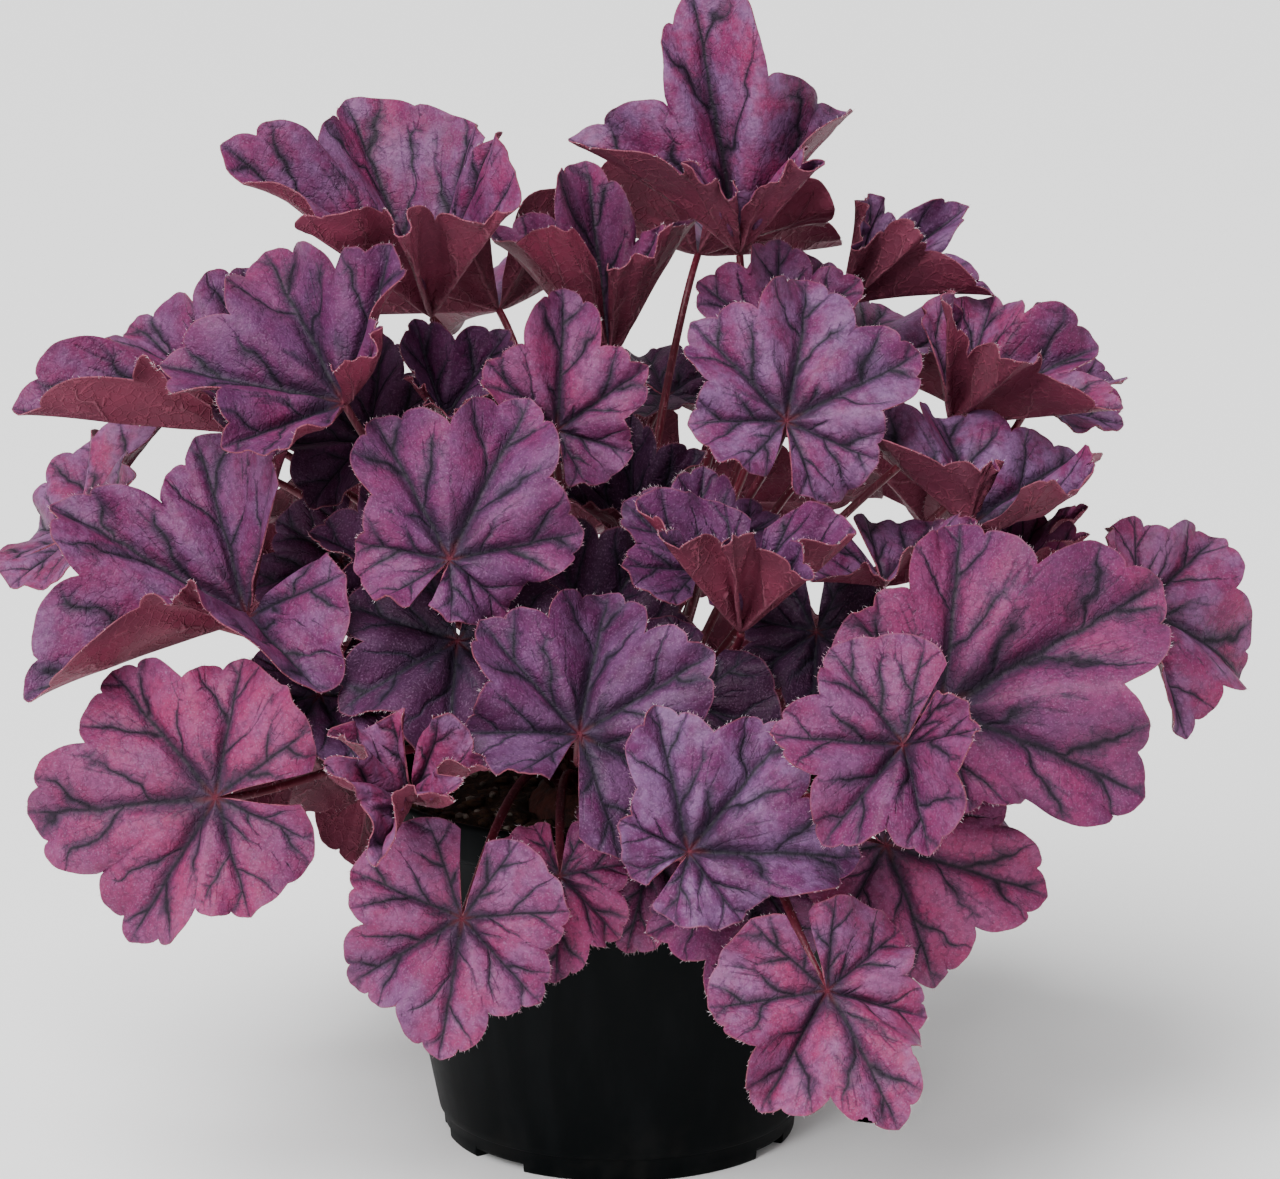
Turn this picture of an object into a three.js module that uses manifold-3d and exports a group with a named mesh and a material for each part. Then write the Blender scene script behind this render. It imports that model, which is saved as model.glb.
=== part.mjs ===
// A purple heuchera (coral bells) growing in a round black nursery pot.
// Units are millimetres, +Z is up, the pot stands on z = 0 and its axis is the Z axis. The plant's
// front faces -Y. The parts are the pot, the potting soil, the crown (the rootstock that every leaf
// grows from) and the leaves. Each leaf is one closed body: a lobed, waved blade and its stalk.
import * as THREE from 'three';
import { mergeVertices } from 'three/addons/utils/BufferGeometryUtils.js';
import Module from 'manifold-3d';

const wasm = await Module();
wasm.setup();

const DEG = Math.PI / 180;

// Pot
const POT_HEIGHT = 125;
const POT_FOOT_RADIUS = 60;
const POT_RIM_RADIUS = 84.5;
const POT_FLOOR_TOP = 6;
const POT_FLOOR_UNDERSIDE = 3;
const POT_INNER_FOOT_RADIUS = 58;
const POT_INNER_TOP_RADIUS = 81.2;
const POT_SIDES = 64;
const FOOT_BAND_HEIGHT = 8;
const NOTCH_HEIGHT = 3;
// Each notch of the foot ring: its middle and its width in degrees, counted from the front to the right.
const FOOT_NOTCHES = [[-80, 14], [-42.5, 21], [58.5, 17], [100, 21], [137, 14], [180, 17], [-122, 21]];
const DRAIN_HOLES = 6;
const DRAIN_HOLE_RADIUS = 5.5;
const DRAIN_CIRCLE_RADIUS = 36;

// Soil and crown
const FIT_GAP = 0.35;
const SOIL_TOP = 113;
const CROWN_CENTRE_HEIGHT = 96;
const CROWN_RADIUS = 36;
const CROWN_BASE_RADIUS = 31;
const CROWN_BASE_HEIGHT = 100;
const CROWN_SIDES = 36;

// Leaf blade. Angles go round the stalk joint from the tip lobe, to the right positive.
const LOBE_STEP = 52;
const BLADE_END = 170;
const OUTER_HALF_LOBE = BLADE_END - 2 * LOBE_STEP;
const NOTCH_DEPTH = 0.19;
const LOBE_ROUNDNESS = 2.4;
const TOOTH_DEPTH = 0.045;
const TIP_POINT = 0.035;
const FOLD_ANGLE = 12;
const SINUS_RADIUS = 0.8;
const BLADE_THICKNESS = 0.9;
const LEAST_SLANT = 0.3;
const WAVE_HEIGHT = 0.065;
const USUAL_LOBES = [0.8, 0.94, 1, 0.94, 0.8];

// Leaf stalk
const STALK_SIDES = 5;
const STALK_POINTS = 7;
const STALK_RADIUS_TOP = 1.3;
const STALK_RADIUS_FOOT = 1.7;
const STALK_HOOK = 0.6;
const STALK_PULL_FOOT = 1;
const STALK_PULL_TOP = 0.7;
const FOOT_CLEARANCE = 0.4;
// Each of the stalk's sides at the joint: the first fan face it serves and the one past its last, and
// the two ribs it lies between.
const JOINT_FACES = [[0, 1], [1, 4], [4, 6], [6, 9], [9, 10]];
const JOINT_RIBS = [[0, 0], [1, 2], [5, 5], [8, 9], [10, 10]];
// The stalks stand on the crown in rings: how many, and how far down from its top in degrees.
const STALK_RINGS = [[9, 12], [18, 26], [Infinity, 40]];

// Every leaf. hub is where the stalk meets the blade. face is the way the upper side looks: degrees
// from the front to the right, and degrees up. spin turns the tip lobe about that, from straight up
// to the right. length is the tip lobe's. lift raises, curl bends and lobes sizes the five lobes,
// from the left one to the right one. fold, wave, hook and pull stand in for the usual values.
const LEAVES = [
  { name: 'leaf_top_right', hub: [40, 12, 299], face: [0, 50], spin: -13, length: 84,
    lift: [65, 36, 36, 34, 60], curl: [0, -20, 0, -15, 0], lobes: [0.6, 0.8, 1, 0.76, 0.6], fold: 18 },
  { name: 'leaf_top_far_right', hub: [76, 46, 277], face: [55, 60], spin: 155, length: 52,
    lift: [60, 44, 40, 58, 60], curl: [0, 0, -10, 10, 10], lobes: [0.75, 0.95, 1, 0.85, 0.65] },
  { name: 'leaf_top_left', hub: [-62, 3, 279], face: [-12, 62], spin: 222, length: 84,
    lift: [56, 60, 58, 48, 42], curl: [0, 0, -10, -10, -5], lobes: [0.9, 0.8, 0.85, 1, 0.92], fold: 12 },
  { name: 'leaf_top_middle', hub: [-3, 14, 262], face: [-8, 60], spin: -12, length: 68,
    lift: [68, 46, 38, 44, 66], curl: [0, -10, -10, -5, 0],
    lobes: [0.98, 0.88, 0.98, 0.78, 0.9], fold: 14 },
  { name: 'leaf_shoulder_far_left', hub: [-122, 1, 241], face: [-40, 62], spin: 230, length: 75,
    lift: [30, 60, 24, 38, 38], curl: [-20, 0, 0, -10, -10], lobes: [0.6, 0.7, 1, 0.85, 0.75] },
  { name: 'leaf_shoulder_left', hub: [-88, -44, 259], face: [-15, 36], spin: -35, length: 62,
    lift: [30, 15, 10, 20, 40], curl: [20, -5, -10, 0, 40], lobes: [0.8, 0.95, 1, 0.8, 0.75] },
  { name: 'leaf_shoulder_middle_left', hub: [-20, -38, 249], face: [5, 18], spin: 5, length: 46,
    lift: [10, 18, 5, 10, 10], curl: [0, 0, -10, 0, 0], lobes: [0.55, 0.7, 1, 0.75, 0.55] },
  { name: 'leaf_shoulder_dark', hub: [16, 71, 240], face: [20, 75], spin: 110, length: 40,
    lift: [5, 5, -5, 5, 5], curl: [0, 0, -30, 0, 0] },
  { name: 'leaf_shoulder_middle_right', hub: [54, -44, 253], face: [5, 30], spin: 12, length: 51,
    lift: [10, 5, 0, 5, 0], curl: [0, -10, -10, -10, -10], lobes: [0.62, 0.85, 1, 0.95, 0.62] },
  { name: 'leaf_shoulder_upper_right', hub: [53, 0, 270], face: [0, 35], spin: 0, length: 36,
    lift: [10, 10, 10, 10, 10] },
  { name: 'leaf_shoulder_right', hub: [111, 13, 241], face: [35, 66], spin: 150, length: 60,
    lift: [40, 34, 34, 50, 60], curl: [0, 0, -10, 0, 10], lobes: [0.8, 0.95, 1, 1, 0.9] },
  { name: 'leaf_shoulder_low_right', hub: [114, -40, 218], face: [28, 52], spin: 16, length: 52,
    lift: [70, 8, 4, 10, 25], curl: [20, 0, -10, -10, 60], lobes: [0.6, 0.92, 1, 1, 0.95], pull: 0.9 },
  { name: 'leaf_shoulder_far_right', hub: [172, -12, 183], face: [32, 40], spin: 116, length: 52,
    lift: [20, 5, -5, -10, 10], curl: [0, -10, -20, -20, 0], lobes: [0.6, 0.9, 1, 0.85, 0.5] },
  { name: 'leaf_shoulder_back_right', hub: [141, 53, 241], face: [50, 54], spin: 50, length: 40,
    lift: [20, 20, 20, 20, 20] },
  { name: 'leaf_front_upper_left', hub: [-53, -82, 216], face: [3, 28], spin: 26, length: 59,
    lift: [0, 0, 0, 0, 0], curl: [0, -10, -5, -10, -30], lobes: [0.5, 0.88, 1, 0.72, 0.4] },
  { name: 'leaf_inner_middle', hub: [4, -3, 204], face: [0, 60], spin: 0, length: 42,
    lift: [50, 40, 40, 40, 50] },
  { name: 'leaf_inner_right', hub: [26, -48, 205], face: [5, 40], spin: 5, length: 34,
    lift: [20, 10, 10, 10, 20] },
  { name: 'leaf_front_cupped', hub: [39, -72, 190], face: [5, 62], spin: 200, length: 58,
    lift: [50, 60, 66, 58, 40], lobes: [0.9, 1, 0.95, 1, 0.85], fold: 13 },
  { name: 'leaf_front_small_cup', hub: [86, -47, 200], face: [15, 66], spin: 150, length: 38,
    lift: [12, 35, 35, 30, 20], curl: [0, 20, 20, 20, 0] },
  { name: 'leaf_side_far_left', hub: [-183, 25, 200], face: [-70, 45], spin: 0, length: 46,
    lift: [10, 10, 10, 10, 10] },
  { name: 'leaf_side_left', hub: [-119, -60, 192], face: [-30, 50], spin: 225, length: 74,
    lift: [10, 50, 14, 28, 32], curl: [-10, 20, 0, 0, 0], lobes: [0.62, 0.6, 1, 0.92, 0.82], fold: 14 },
  { name: 'leaf_inner_left', hub: [-71, -45, 203], face: [25, 40], spin: -10, length: 34,
    lift: [10, 10, 25, 10, 10] },
  { name: 'leaf_side_low_left', hub: [-126, -102, 144], face: [-12, 22], spin: -98, length: 62,
    lift: [0, -5, 0, 0, 5], curl: [-5, -20, -10, -10, -5], lobes: [0.62, 0.86, 1, 0.88, 0.7], fold: 9 },
  { name: 'leaf_inner_low_left', hub: [-95, -74, 170], face: [-15, 45], spin: 195, length: 36,
    lift: [0, 0, 10, 0, 0] },
  { name: 'leaf_inner_far_left', hub: [-92, -13, 200], face: [-15, 32], spin: 195, length: 34,
    lift: [0, -8, 0, 0, 0] },
  { name: 'leaf_front_dark_left', hub: [-51, -75, 188], face: [-2, 38], spin: 183, length: 46,
    lift: [0, 0, 0, 8, 0] },
  { name: 'leaf_front_middle', hub: [-12, -108, 166], face: [-3, 38], spin: 8, length: 51,
    lift: [20, 12, 2, 10, -10], curl: [0, 0, -10, -5, -30], lobes: [0.72, 0.9, 1, 0.92, 0.92], fold: 14 },
  { name: 'leaf_front_right', hub: [22, -132, 135], face: [-4, 20], spin: 38, length: 49,
    lift: [5, 5, 0, 5, 25], curl: [0, 0, -10, -10, -30], lobes: [0.45, 0.92, 1, 1.05, 0.55] },
  { name: 'leaf_front_far_right', hub: [87, -139, 171], face: [5, 34], spin: -138, length: 40,
    lift: [60, 5, 0, 0, 5], curl: [10, -20, -20, 0, 0], lobes: [1.1, 0.85, 0.95, 1, 0.9], fold: 14 },
  { name: 'leaf_side_right', hub: [101, -104, 173], face: [6, 28], spin: 62, length: 80,
    lift: [0, 5, 5, 5, -2], curl: [0, 0, -10, -10, -30], lobes: [0.5, 0.76, 1, 0.84, 0.42], fold: 11 },
  { name: 'leaf_side_low_right', hub: [84, -107, 130], face: [10, 25], spin: 110, length: 53,
    lift: [13, 0, 0, 0, 0], curl: [0, -10, -10, -20, 0], lobes: [0.6, 0.8, 1, 0.86, 0.6], fold: 9 },
  { name: 'leaf_front_young', hub: [-64, -115, 147], face: [-5, 50], spin: 190, length: 40,
    lift: [30, 36, 20, 36, 30], curl: [20, 20, 20, 20, 20], fold: 15, wave: 0.1 },
  { name: 'leaf_low_left', hub: [-48, -130, 113], face: [-8, 16], spin: 187, length: 43,
    lift: [0, 0, 0, 0, 0], curl: [0, -10, -10, -10, 0], lobes: [0.78, 0.8, 1, 0.95, 0.86], fold: 9 },
  { name: 'leaf_low_middle_left', hub: [-18, -118, 123], face: [0, 35], spin: 182, length: 36,
    lift: [0, -20, -25, -20, 0], curl: [0, -20, -20, -20, 0], lobes: [0.6, 0.75, 0.95, 0.7, 0.6] },
  { name: 'leaf_low_middle_right', hub: [11, -98, 125], face: [-3, 29], spin: 196, length: 34,
    lift: [-20, -10, -20, -18, 0], curl: [0, -20, -20, -20, 0] },
  { name: 'leaf_low_inner_right', hub: [44, -112, 120], face: [14, 19], spin: 195, length: 46,
    lift: [-16, -18, 8, -5, 0], curl: [0, -20, -20, -20, 0], lobes: [0.7, 0.8, 1, 0.8, 0.5] },
  { name: 'leaf_low_right', hub: [64, -152, 97], face: [10, 22], spin: 160, length: 49,
    lift: [-15, -5, 30, -5, 0], curl: [0, -10, -15, -10, 0],
    lobes: [0.66, 0.66, 1, 0.84, 0.74], fold: 13, hook: 3, pull: 1.1 },
  { name: 'leaf_inner_front', hub: [-10, -45, 181], face: [-5, 38], spin: -20, length: 42,
    lift: [18, 10, 10, 10, 10] },
  { name: 'leaf_inner_front_right', hub: [20, -75, 167], face: [5, 35], spin: 210, length: 40,
    lift: [0, 0, 0, 0, 0] },
  { name: 'leaf_inner_low_right', hub: [64, -51, 185], face: [-12, 35], spin: 175, length: 32,
    lift: [0, 10, 0, 5, 0] },
  { name: 'leaf_side_upper_right', hub: [127, -17, 185], face: [35, 60], spin: 150, length: 46,
    lift: [50, 70, 70, 60, 40] },
  { name: 'leaf_inner_upper_left', hub: [-83, -5, 239], face: [-30, 45], spin: -60, length: 38,
    lift: [10, 16, 10, 10, 10] },
  { name: 'leaf_shoulder_small_left', hub: [-57, -20, 249], face: [-10, 42], spin: 30, length: 36,
    lift: [60, 20, 10, 15, 45], curl: [20, 0, 0, 0, 30], lobes: [0.7, 0.9, 1, 0.95, 0.8] },
  { name: 'leaf_back_low_right', hub: [108, 54, 126], face: [115, 28], spin: 170, length: 53,
    lift: [0, -5, -5, -5, 0], curl: [0, -10, -15, -10, 0] },
  { name: 'leaf_back_low_middle_right', hub: [64, 115, 124], face: [150, 25], spin: 190, length: 55,
    lift: [0, -5, -5, -5, 0], curl: [0, -10, -15, -10, 0] },
  { name: 'leaf_back_low_middle', hub: [-4, 125, 118], face: [172, 26], spin: 175, length: 57,
    lift: [0, -5, -5, -5, 0], curl: [0, -10, -15, -10, 0] },
  { name: 'leaf_back_low_middle_left', hub: [-84, 108, 111], face: [-147, 24], spin: 170, length: 53,
    lift: [0, -5, -5, -5, 0], curl: [0, -10, -15, -10, 0] },
  { name: 'leaf_back_low_left', hub: [-110, 47, 120], face: [-112, 28], spin: 185, length: 55,
    lift: [0, -5, -5, -5, 0], curl: [0, -10, -15, -10, 0] },
  { name: 'leaf_back_right', hub: [127, 59, 195], face: [115, 45], spin: 160, length: 59,
    lift: [0, 5, 5, 5, 0], curl: [0, -10, -15, -10, 0] },
  { name: 'leaf_back_middle_right', hub: [79, 102, 218], face: [142, 45], spin: 200, length: 57,
    lift: [0, 5, 5, 5, 0], curl: [0, -10, -15, -10, 0] },
  { name: 'leaf_back_middle', hub: [23, 127, 191], face: [170, 42], spin: 170, length: 61,
    lift: [0, 5, 5, 5, 0], curl: [0, -10, -15, -10, 0] },
  { name: 'leaf_back_middle_left', hub: [-40, 127, 211], face: [-162, 45], spin: 185, length: 59,
    lift: [0, 5, 5, 5, 0], curl: [0, -10, -15, -10, 0] },
  { name: 'leaf_back_left', hub: [-101, 85, 192], face: [-130, 42], spin: 175, length: 59,
    lift: [0, 5, 5, 5, 0], curl: [0, -10, -15, -10, 0] },
  { name: 'leaf_back_far_left', hub: [-121, 39, 218], face: [-100, 48], spin: 190, length: 55,
    lift: [10, 10, 10, 10, 10], curl: [0, -10, -15, -10, 0] },
  { name: 'leaf_back_top_middle', hub: [27, 70, 290], face: [160, 60], spin: 170, length: 61,
    lift: [20, 20, 25, 20, 20] },
  { name: 'leaf_back_top_left', hub: [-42, 74, 270], face: [-150, 58], spin: 190, length: 63,
    lift: [20, 20, 20, 20, 20] },
  { name: 'leaf_back_top_right', hub: [76, 55, 255], face: [85, 58], spin: 150, length: 55,
    lift: [20, 20, 25, 20, 20] },
];

const POT_COLOUR = 0x16181a;
const SOIL_COLOUR = 0x2a1d14;
const CROWN_COLOUR = 0x4a2426;
const LEAF_COLOUR = 0x7a4468;

function clamp(value, low, high) {
  return Math.min(high, Math.max(low, value));
}

// Distance of the blade's edge from the stalk joint at an angle, as a share of the leaf's length,
// and the place across its lobe, from -1 to 1. Rounded lobes, each with three teeth.
function bladeEdge(angle, lobes) {
  const lobe = clamp(Math.round(angle / LOBE_STEP) + 2, 0, 4);
  const fromMiddle = angle - (lobe - 2) * LOBE_STEP;
  const side = fromMiddle < 0 ? -1 : 1;
  const isOuterHalf = (lobe === 0 && side < 0) || (lobe === 4 && side > 0);
  const across = fromMiddle / (isOuterHalf ? OUTER_HALF_LOBE : LOBE_STEP / 2);
  let notch = SINUS_RADIUS * lobes[lobe];
  if (!isOuterHalf) {
    notch = (1 - NOTCH_DEPTH) * (lobes[lobe] + lobes[clamp(lobe + side, 0, 4)]) / 2;
  }
  const rounded = lobes[lobe] + (notch - lobes[lobe]) * Math.abs(across) ** LOBE_ROUNDNESS;
  const tooth = TOOTH_DEPTH * (1 - Math.abs(Math.cos(1.5 * Math.PI * across)) ** 0.6);
  const point = TIP_POINT * clamp(1 - 3 * Math.abs(across), 0, 1);
  return { radius: rounded * (1 - tooth + point), across };
}

// A value given for each lobe, blended smoothly round the blade.
function blendLobes(angle, values) {
  const place = clamp(angle / LOBE_STEP + 2, 0, 4);
  const lobe = clamp(Math.floor(place), 0, 3);
  const share = (1 - Math.cos(Math.PI * (place - lobe))) / 2;
  return values[lobe] * (1 - share) + values[lobe + 1] * share;
}

// A steady pseudo-random number from 0 to 1 for a leaf.
function leafNoise(index, channel) {
  const value = Math.sin(index * 12.9898 + channel * 78.233) * 43758.5453;
  return value - Math.floor(value);
}

// A point of the blade's middle surface in the leaf's own frame: the stalk joint is the origin, the
// tip lobe points along +Y and the upper side along +Z. reach goes from 0 at the joint to 1 at the
// edge. Each rib rises at its lift angle and bends by its curl, the blade folds up between the ribs
// by its fold angle, and the rim is waved.
function bladePoint(angle, reach, leaf, index) {
  const { radius, across } = bladeEdge(angle, leaf.lobes ?? USUAL_LOBES);
  const fold = (leaf.fold ?? FOLD_ANGLE) * (1 - Math.cos(Math.PI * across)) / 2;
  const rise = (blendLobes(angle, leaf.lift) + fold) * DEG;
  const curl = blendLobes(angle, leaf.curl ?? [0, 0, 0, 0, 0]) * DEG;
  const bend = Math.abs(curl) < 1e-4 ? 1e-4 : curl;
  const out = (Math.sin(rise + bend * reach) - Math.sin(rise)) / bend;
  const up = (Math.cos(rise) - Math.cos(rise + bend * reach)) / bend;
  const phases = [1, 2].map((channel) => 6.283 * leafNoise(index, channel));
  const ripple = Math.sin(3.3 * angle * DEG + phases[0]) + 0.7 * Math.sin(5.7 * angle * DEG + phases[1]);
  const wave = (leaf.wave ?? WAVE_HEIGHT) * ripple * reach ** 2.5;
  const flat = leaf.length * radius * out;
  return new THREE.Vector3(
    flat * Math.sin(angle * DEG),
    flat * Math.cos(angle * DEG),
    leaf.length * (radius * up + wave),
  );
}

// The leaf's own frame, placed at its hub.
function leafFrame(leaf) {
  const [azimuth, elevation] = leaf.face.map((degrees) => degrees * DEG);
  const spin = leaf.spin * DEG;
  const upperSide = new THREE.Vector3(
    Math.sin(azimuth) * Math.cos(elevation),
    -Math.cos(azimuth) * Math.cos(elevation),
    Math.sin(elevation),
  );
  const upward = new THREE.Vector3(
    -Math.sin(azimuth) * Math.sin(elevation),
    Math.cos(azimuth) * Math.sin(elevation),
    Math.cos(elevation),
  );
  const sideways = upward.clone().cross(upperSide);
  const tip = upward.clone().multiplyScalar(Math.cos(spin)).addScaledVector(sideways, Math.sin(spin));
  const right = sideways.clone().multiplyScalar(Math.cos(spin)).addScaledVector(upward, -Math.sin(spin));
  return new THREE.Matrix4().makeBasis(right, tip, upperSide).setPosition(...leaf.hub);
}

// Where each stalk stands on the crown, and its first direction: upright leaves get the inner ring,
// and within a ring the stalks are evenly spaced in the order of their leaves.
function placeStalkFeet() {
  const crown = new THREE.Vector3(0, 0, CROWN_CENTRE_HEIGHT);
  const ways = LEAVES.map((leaf) => new THREE.Vector3(...leaf.hub).sub(crown));
  const slopes = ways.map((way) => Math.acos(way.z / way.length()));
  const bearings = ways.map((way) => Math.atan2(way.y, way.x));
  const order = LEAVES.map((leaf, index) => index).sort((a, b) => slopes[a] - slopes[b]);
  const feet = [];
  let used = 0;
  for (const [count, slope] of STALK_RINGS) {
    const ring = order.slice(used, used + count).sort((a, b) => bearings[a] - bearings[b]);
    used += ring.length;
    const turns = ring.map((leaf, place) => bearings[leaf] - 2 * Math.PI * place / ring.length);
    const east = turns.reduce((sum, turn) => sum + Math.cos(turn), 0);
    const north = turns.reduce((sum, turn) => sum + Math.sin(turn), 0);
    const start = Math.atan2(north, east);
    ring.forEach((leaf, place) => {
      const bearing = start + 2 * Math.PI * place / ring.length;
      const way = new THREE.Vector3(Math.sin(slope * DEG) * Math.cos(bearing),
        Math.sin(slope * DEG) * Math.sin(bearing),
        Math.cos(slope * DEG));
      const foot = crown.clone().addScaledVector(way, CROWN_RADIUS + FOOT_CLEARANCE);
      feet[leaf] = { foot, way };
    });
  }
  return feet;
}

// The stalk's middle line from the crown to the blade's underside, in the leaf's own frame.
function stalkLine(leaf, frame, { foot, way }) {
  const inverse = frame.clone().invert();
  const start = foot.clone().applyMatrix4(inverse);
  const length = start.length();
  const leave = way.clone().transformDirection(inverse).multiplyScalar(length * STALK_PULL_FOOT);
  const arrive = new THREE.Vector3(0, leaf.hook ?? STALK_HOOK, 1).normalize();
  arrive.multiplyScalar(length * (leaf.pull ?? STALK_PULL_TOP));
  return Array.from({ length: STALK_POINTS }, (unused, step) => {
    const u = step / (STALK_POINTS - 1);
    return new THREE.Vector3()
      .addScaledVector(start, 2 * u ** 3 - 3 * u ** 2 + 1)
      .addScaledVector(leave, u ** 3 - 2 * u ** 2 + u)
      .addScaledVector(arrive, u ** 3 - u ** 2);
  });
}

// One leaf as a closed body in its own frame. The blade is a fan round the joint out to an inner ring
// and a band from there to the edge, split alike on both sides. Each corner is offset to both sides,
// further where the blade is sharply folded, so that the blade keeps its thickness. The stalk grows
// from a small ring on the underside, whose points lie half the thickness below the fan's faces that
// they serve.
function leafGeometry(leaf, index, frame, foot) {
  const columns = [];
  for (let lobe = 0; lobe < 5; lobe += 1) {
    for (let step = -3; step < 3; step += 1) {
      const isOuterHalf = lobe === 0 ? step < 0 : lobe === 4 && step > 0;
      const half = isOuterHalf ? OUTER_HALF_LOBE : LOBE_STEP / 2;
      columns.push((lobe - 2) * LOBE_STEP + half * step / 3);
    }
  }
  columns.push(BLADE_END);
  const innerColumns = columns.filter((angle, column) => column % 3 === 0);
  const innerCount = innerColumns.length;
  const outerCount = columns.length;
  const middle = [new THREE.Vector3()]
    .concat(innerColumns.map((angle) => bladePoint(angle, 0.5, leaf, index)))
    .concat(columns.map((angle) => bladePoint(angle, 1, leaf, index)));
  const inner = (column) => 1 + column;
  const outer = (column) => 1 + innerCount + column;

  const fan = [];
  const band = [];
  for (let column = 0; column < innerCount - 1; column += 1) {
    const first = 3 * column;
    fan.push([0, inner(column + 1), inner(column)]);
    band.push([outer(first + 1), outer(first), inner(column)]);
    band.push([inner(column + 1), outer(first + 1), inner(column)]);
    band.push([outer(first + 2), outer(first + 1), inner(column + 1)]);
    band.push([outer(first + 3), outer(first + 2), inner(column + 1)]);
  }

  const faces = fan.concat(band);
  const crosses = faces.map(([a, b, c]) => (
    middle[b].clone().sub(middle[a]).cross(middle[c].clone().sub(middle[a]))));
  const flats = crosses.map((cross) => cross.clone().normalize());
  const normals = middle.map(() => new THREE.Vector3());
  faces.forEach((face, k) => face.forEach((corner) => normals[corner].add(crosses[k])));
  normals.forEach((normal) => normal.normalize());
  const slants = middle.map(() => 1);
  faces.forEach((face, k) => face.forEach((corner) => {
    slants[corner] = Math.min(slants[corner], normals[corner].dot(flats[k]));
  }));
  const depth = slants.map((slant) => BLADE_THICKNESS / 2 / Math.max(LEAST_SLANT, slant));
  const offset = (side) => middle.map((point, k) => (
    point.clone().addScaledVector(normals[k], side * depth[k])));
  const points = offset(1).concat(offset(-1));
  const under = middle.length;

  const ribs = middle.slice(1, 1 + innerCount).map((point) => point.clone().normalize());
  const hub = JOINT_FACES.map(([first, past], side) => {
    const served = flats.slice(first, past);
    const normal = served.reduce((sum, flat) => sum.add(flat), new THREE.Vector3()).normalize();
    const [left, right] = JOINT_RIBS[side];
    const way = ribs[left].clone().add(ribs[right]).setLength(STALK_RADIUS_TOP);
    const depths = served.map((flat) => (
      (BLADE_THICKNESS / 2 + flat.dot(way)) / Math.max(LEAST_SLANT, flat.dot(normal))));
    return way.addScaledVector(normal, -Math.max(...depths));
  });
  const line = stalkLine(leaf, frame, foot);
  const last = STALK_POINTS - 1;
  const tangents = line.map((point, k) => (
    line[Math.min(last, k + 1)].clone().sub(line[Math.max(0, k - 1)]).normalize()));
  let spokes = hub.map((point, side) => {
    const angle = 360 / STALK_SIDES * (side - 2) * DEG;
    return new THREE.Vector3(Math.sin(angle), Math.cos(angle), 0).multiplyScalar(STALK_RADIUS_TOP);
  });
  const rings = [...hub];
  for (let k = last - 1; k >= 0; k -= 1) {
    const turn = new THREE.Quaternion().setFromUnitVectors(tangents[k + 1], tangents[k]);
    spokes = spokes.map((spoke) => spoke.clone().applyQuaternion(turn));
    const widening = 1 + (STALK_RADIUS_FOOT / STALK_RADIUS_TOP - 1) * (1 - k / last);
    for (const spoke of spokes) {
      const flat = spoke.clone().addScaledVector(tangents[k], -spoke.dot(tangents[k]));
      rings.push(line[k].clone().addScaledVector(flat, widening));
    }
  }
  const ringStart = points.length;
  points.push(...rings);
  const stalk = (side, ring = 0) => ringStart + STALK_SIDES * ring + side;

  const triangles = [...fan, ...band, ...band.map(([a, b, c]) => [c + under, b + under, a + under])];
  JOINT_FACES.forEach(([first, past], side) => {
    for (let column = first; column < past; column += 1) {
      triangles.push([stalk(side), inner(column) + under, inner(column + 1) + under]);
    }
    if (past < innerCount - 1) {
      triangles.push([stalk(side), inner(past) + under, stalk(side + 1)]);
    }
  });
  for (let column = 0; column < outerCount - 1; column += 1) {
    const a = outer(column);
    const b = outer(column + 1);
    triangles.push([a, b, b + under], [a, b + under, a + under]);
  }
  const leftIn = inner(0);
  const leftOut = outer(0);
  const rightIn = inner(innerCount - 1);
  const rightOut = outer(outerCount - 1);
  triangles.push([leftIn, leftOut, leftOut + under], [leftIn, leftOut + under, leftIn + under]);
  triangles.push([0, leftIn, leftIn + under], [0, leftIn + under, stalk(0)]);
  triangles.push([rightOut, rightIn, rightIn + under], [rightOut, rightIn + under, rightOut + under]);
  triangles.push([0, rightIn + under, rightIn], [0, stalk(STALK_SIDES - 1), rightIn + under]);
  triangles.push([0, stalk(0), stalk(STALK_SIDES - 1)]);
  for (let ring = 0; ring < last; ring += 1) {
    for (let side = 0; side < STALK_SIDES; side += 1) {
      const next = (side + 1) % STALK_SIDES;
      triangles.push([stalk(side, ring), stalk(next, ring), stalk(next, ring + 1)]);
      triangles.push([stalk(side, ring), stalk(next, ring + 1), stalk(side, ring + 1)]);
    }
  }
  for (let side = 1; side < STALK_SIDES - 1; side += 1) {
    triangles.push([stalk(0, last), stalk(side, last), stalk(side + 1, last)]);
  }

  const geometry = new THREE.BufferGeometry();
  geometry.setAttribute('position', new THREE.Float32BufferAttribute(points.flatMap((p) => p.toArray()), 3));
  geometry.setIndex(triangles.flat());
  geometry.computeVertexNormals();
  return geometry;
}

// A round body about the Z axis from a profile of [radius, height] points.
function turned(profile, sides) {
  const points = profile.map(([radius, height]) => new THREE.Vector2(radius, height));
  const geometry = new THREE.LatheGeometry(points, sides);
  geometry.rotateX(Math.PI / 2);
  return geometry;
}

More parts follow.
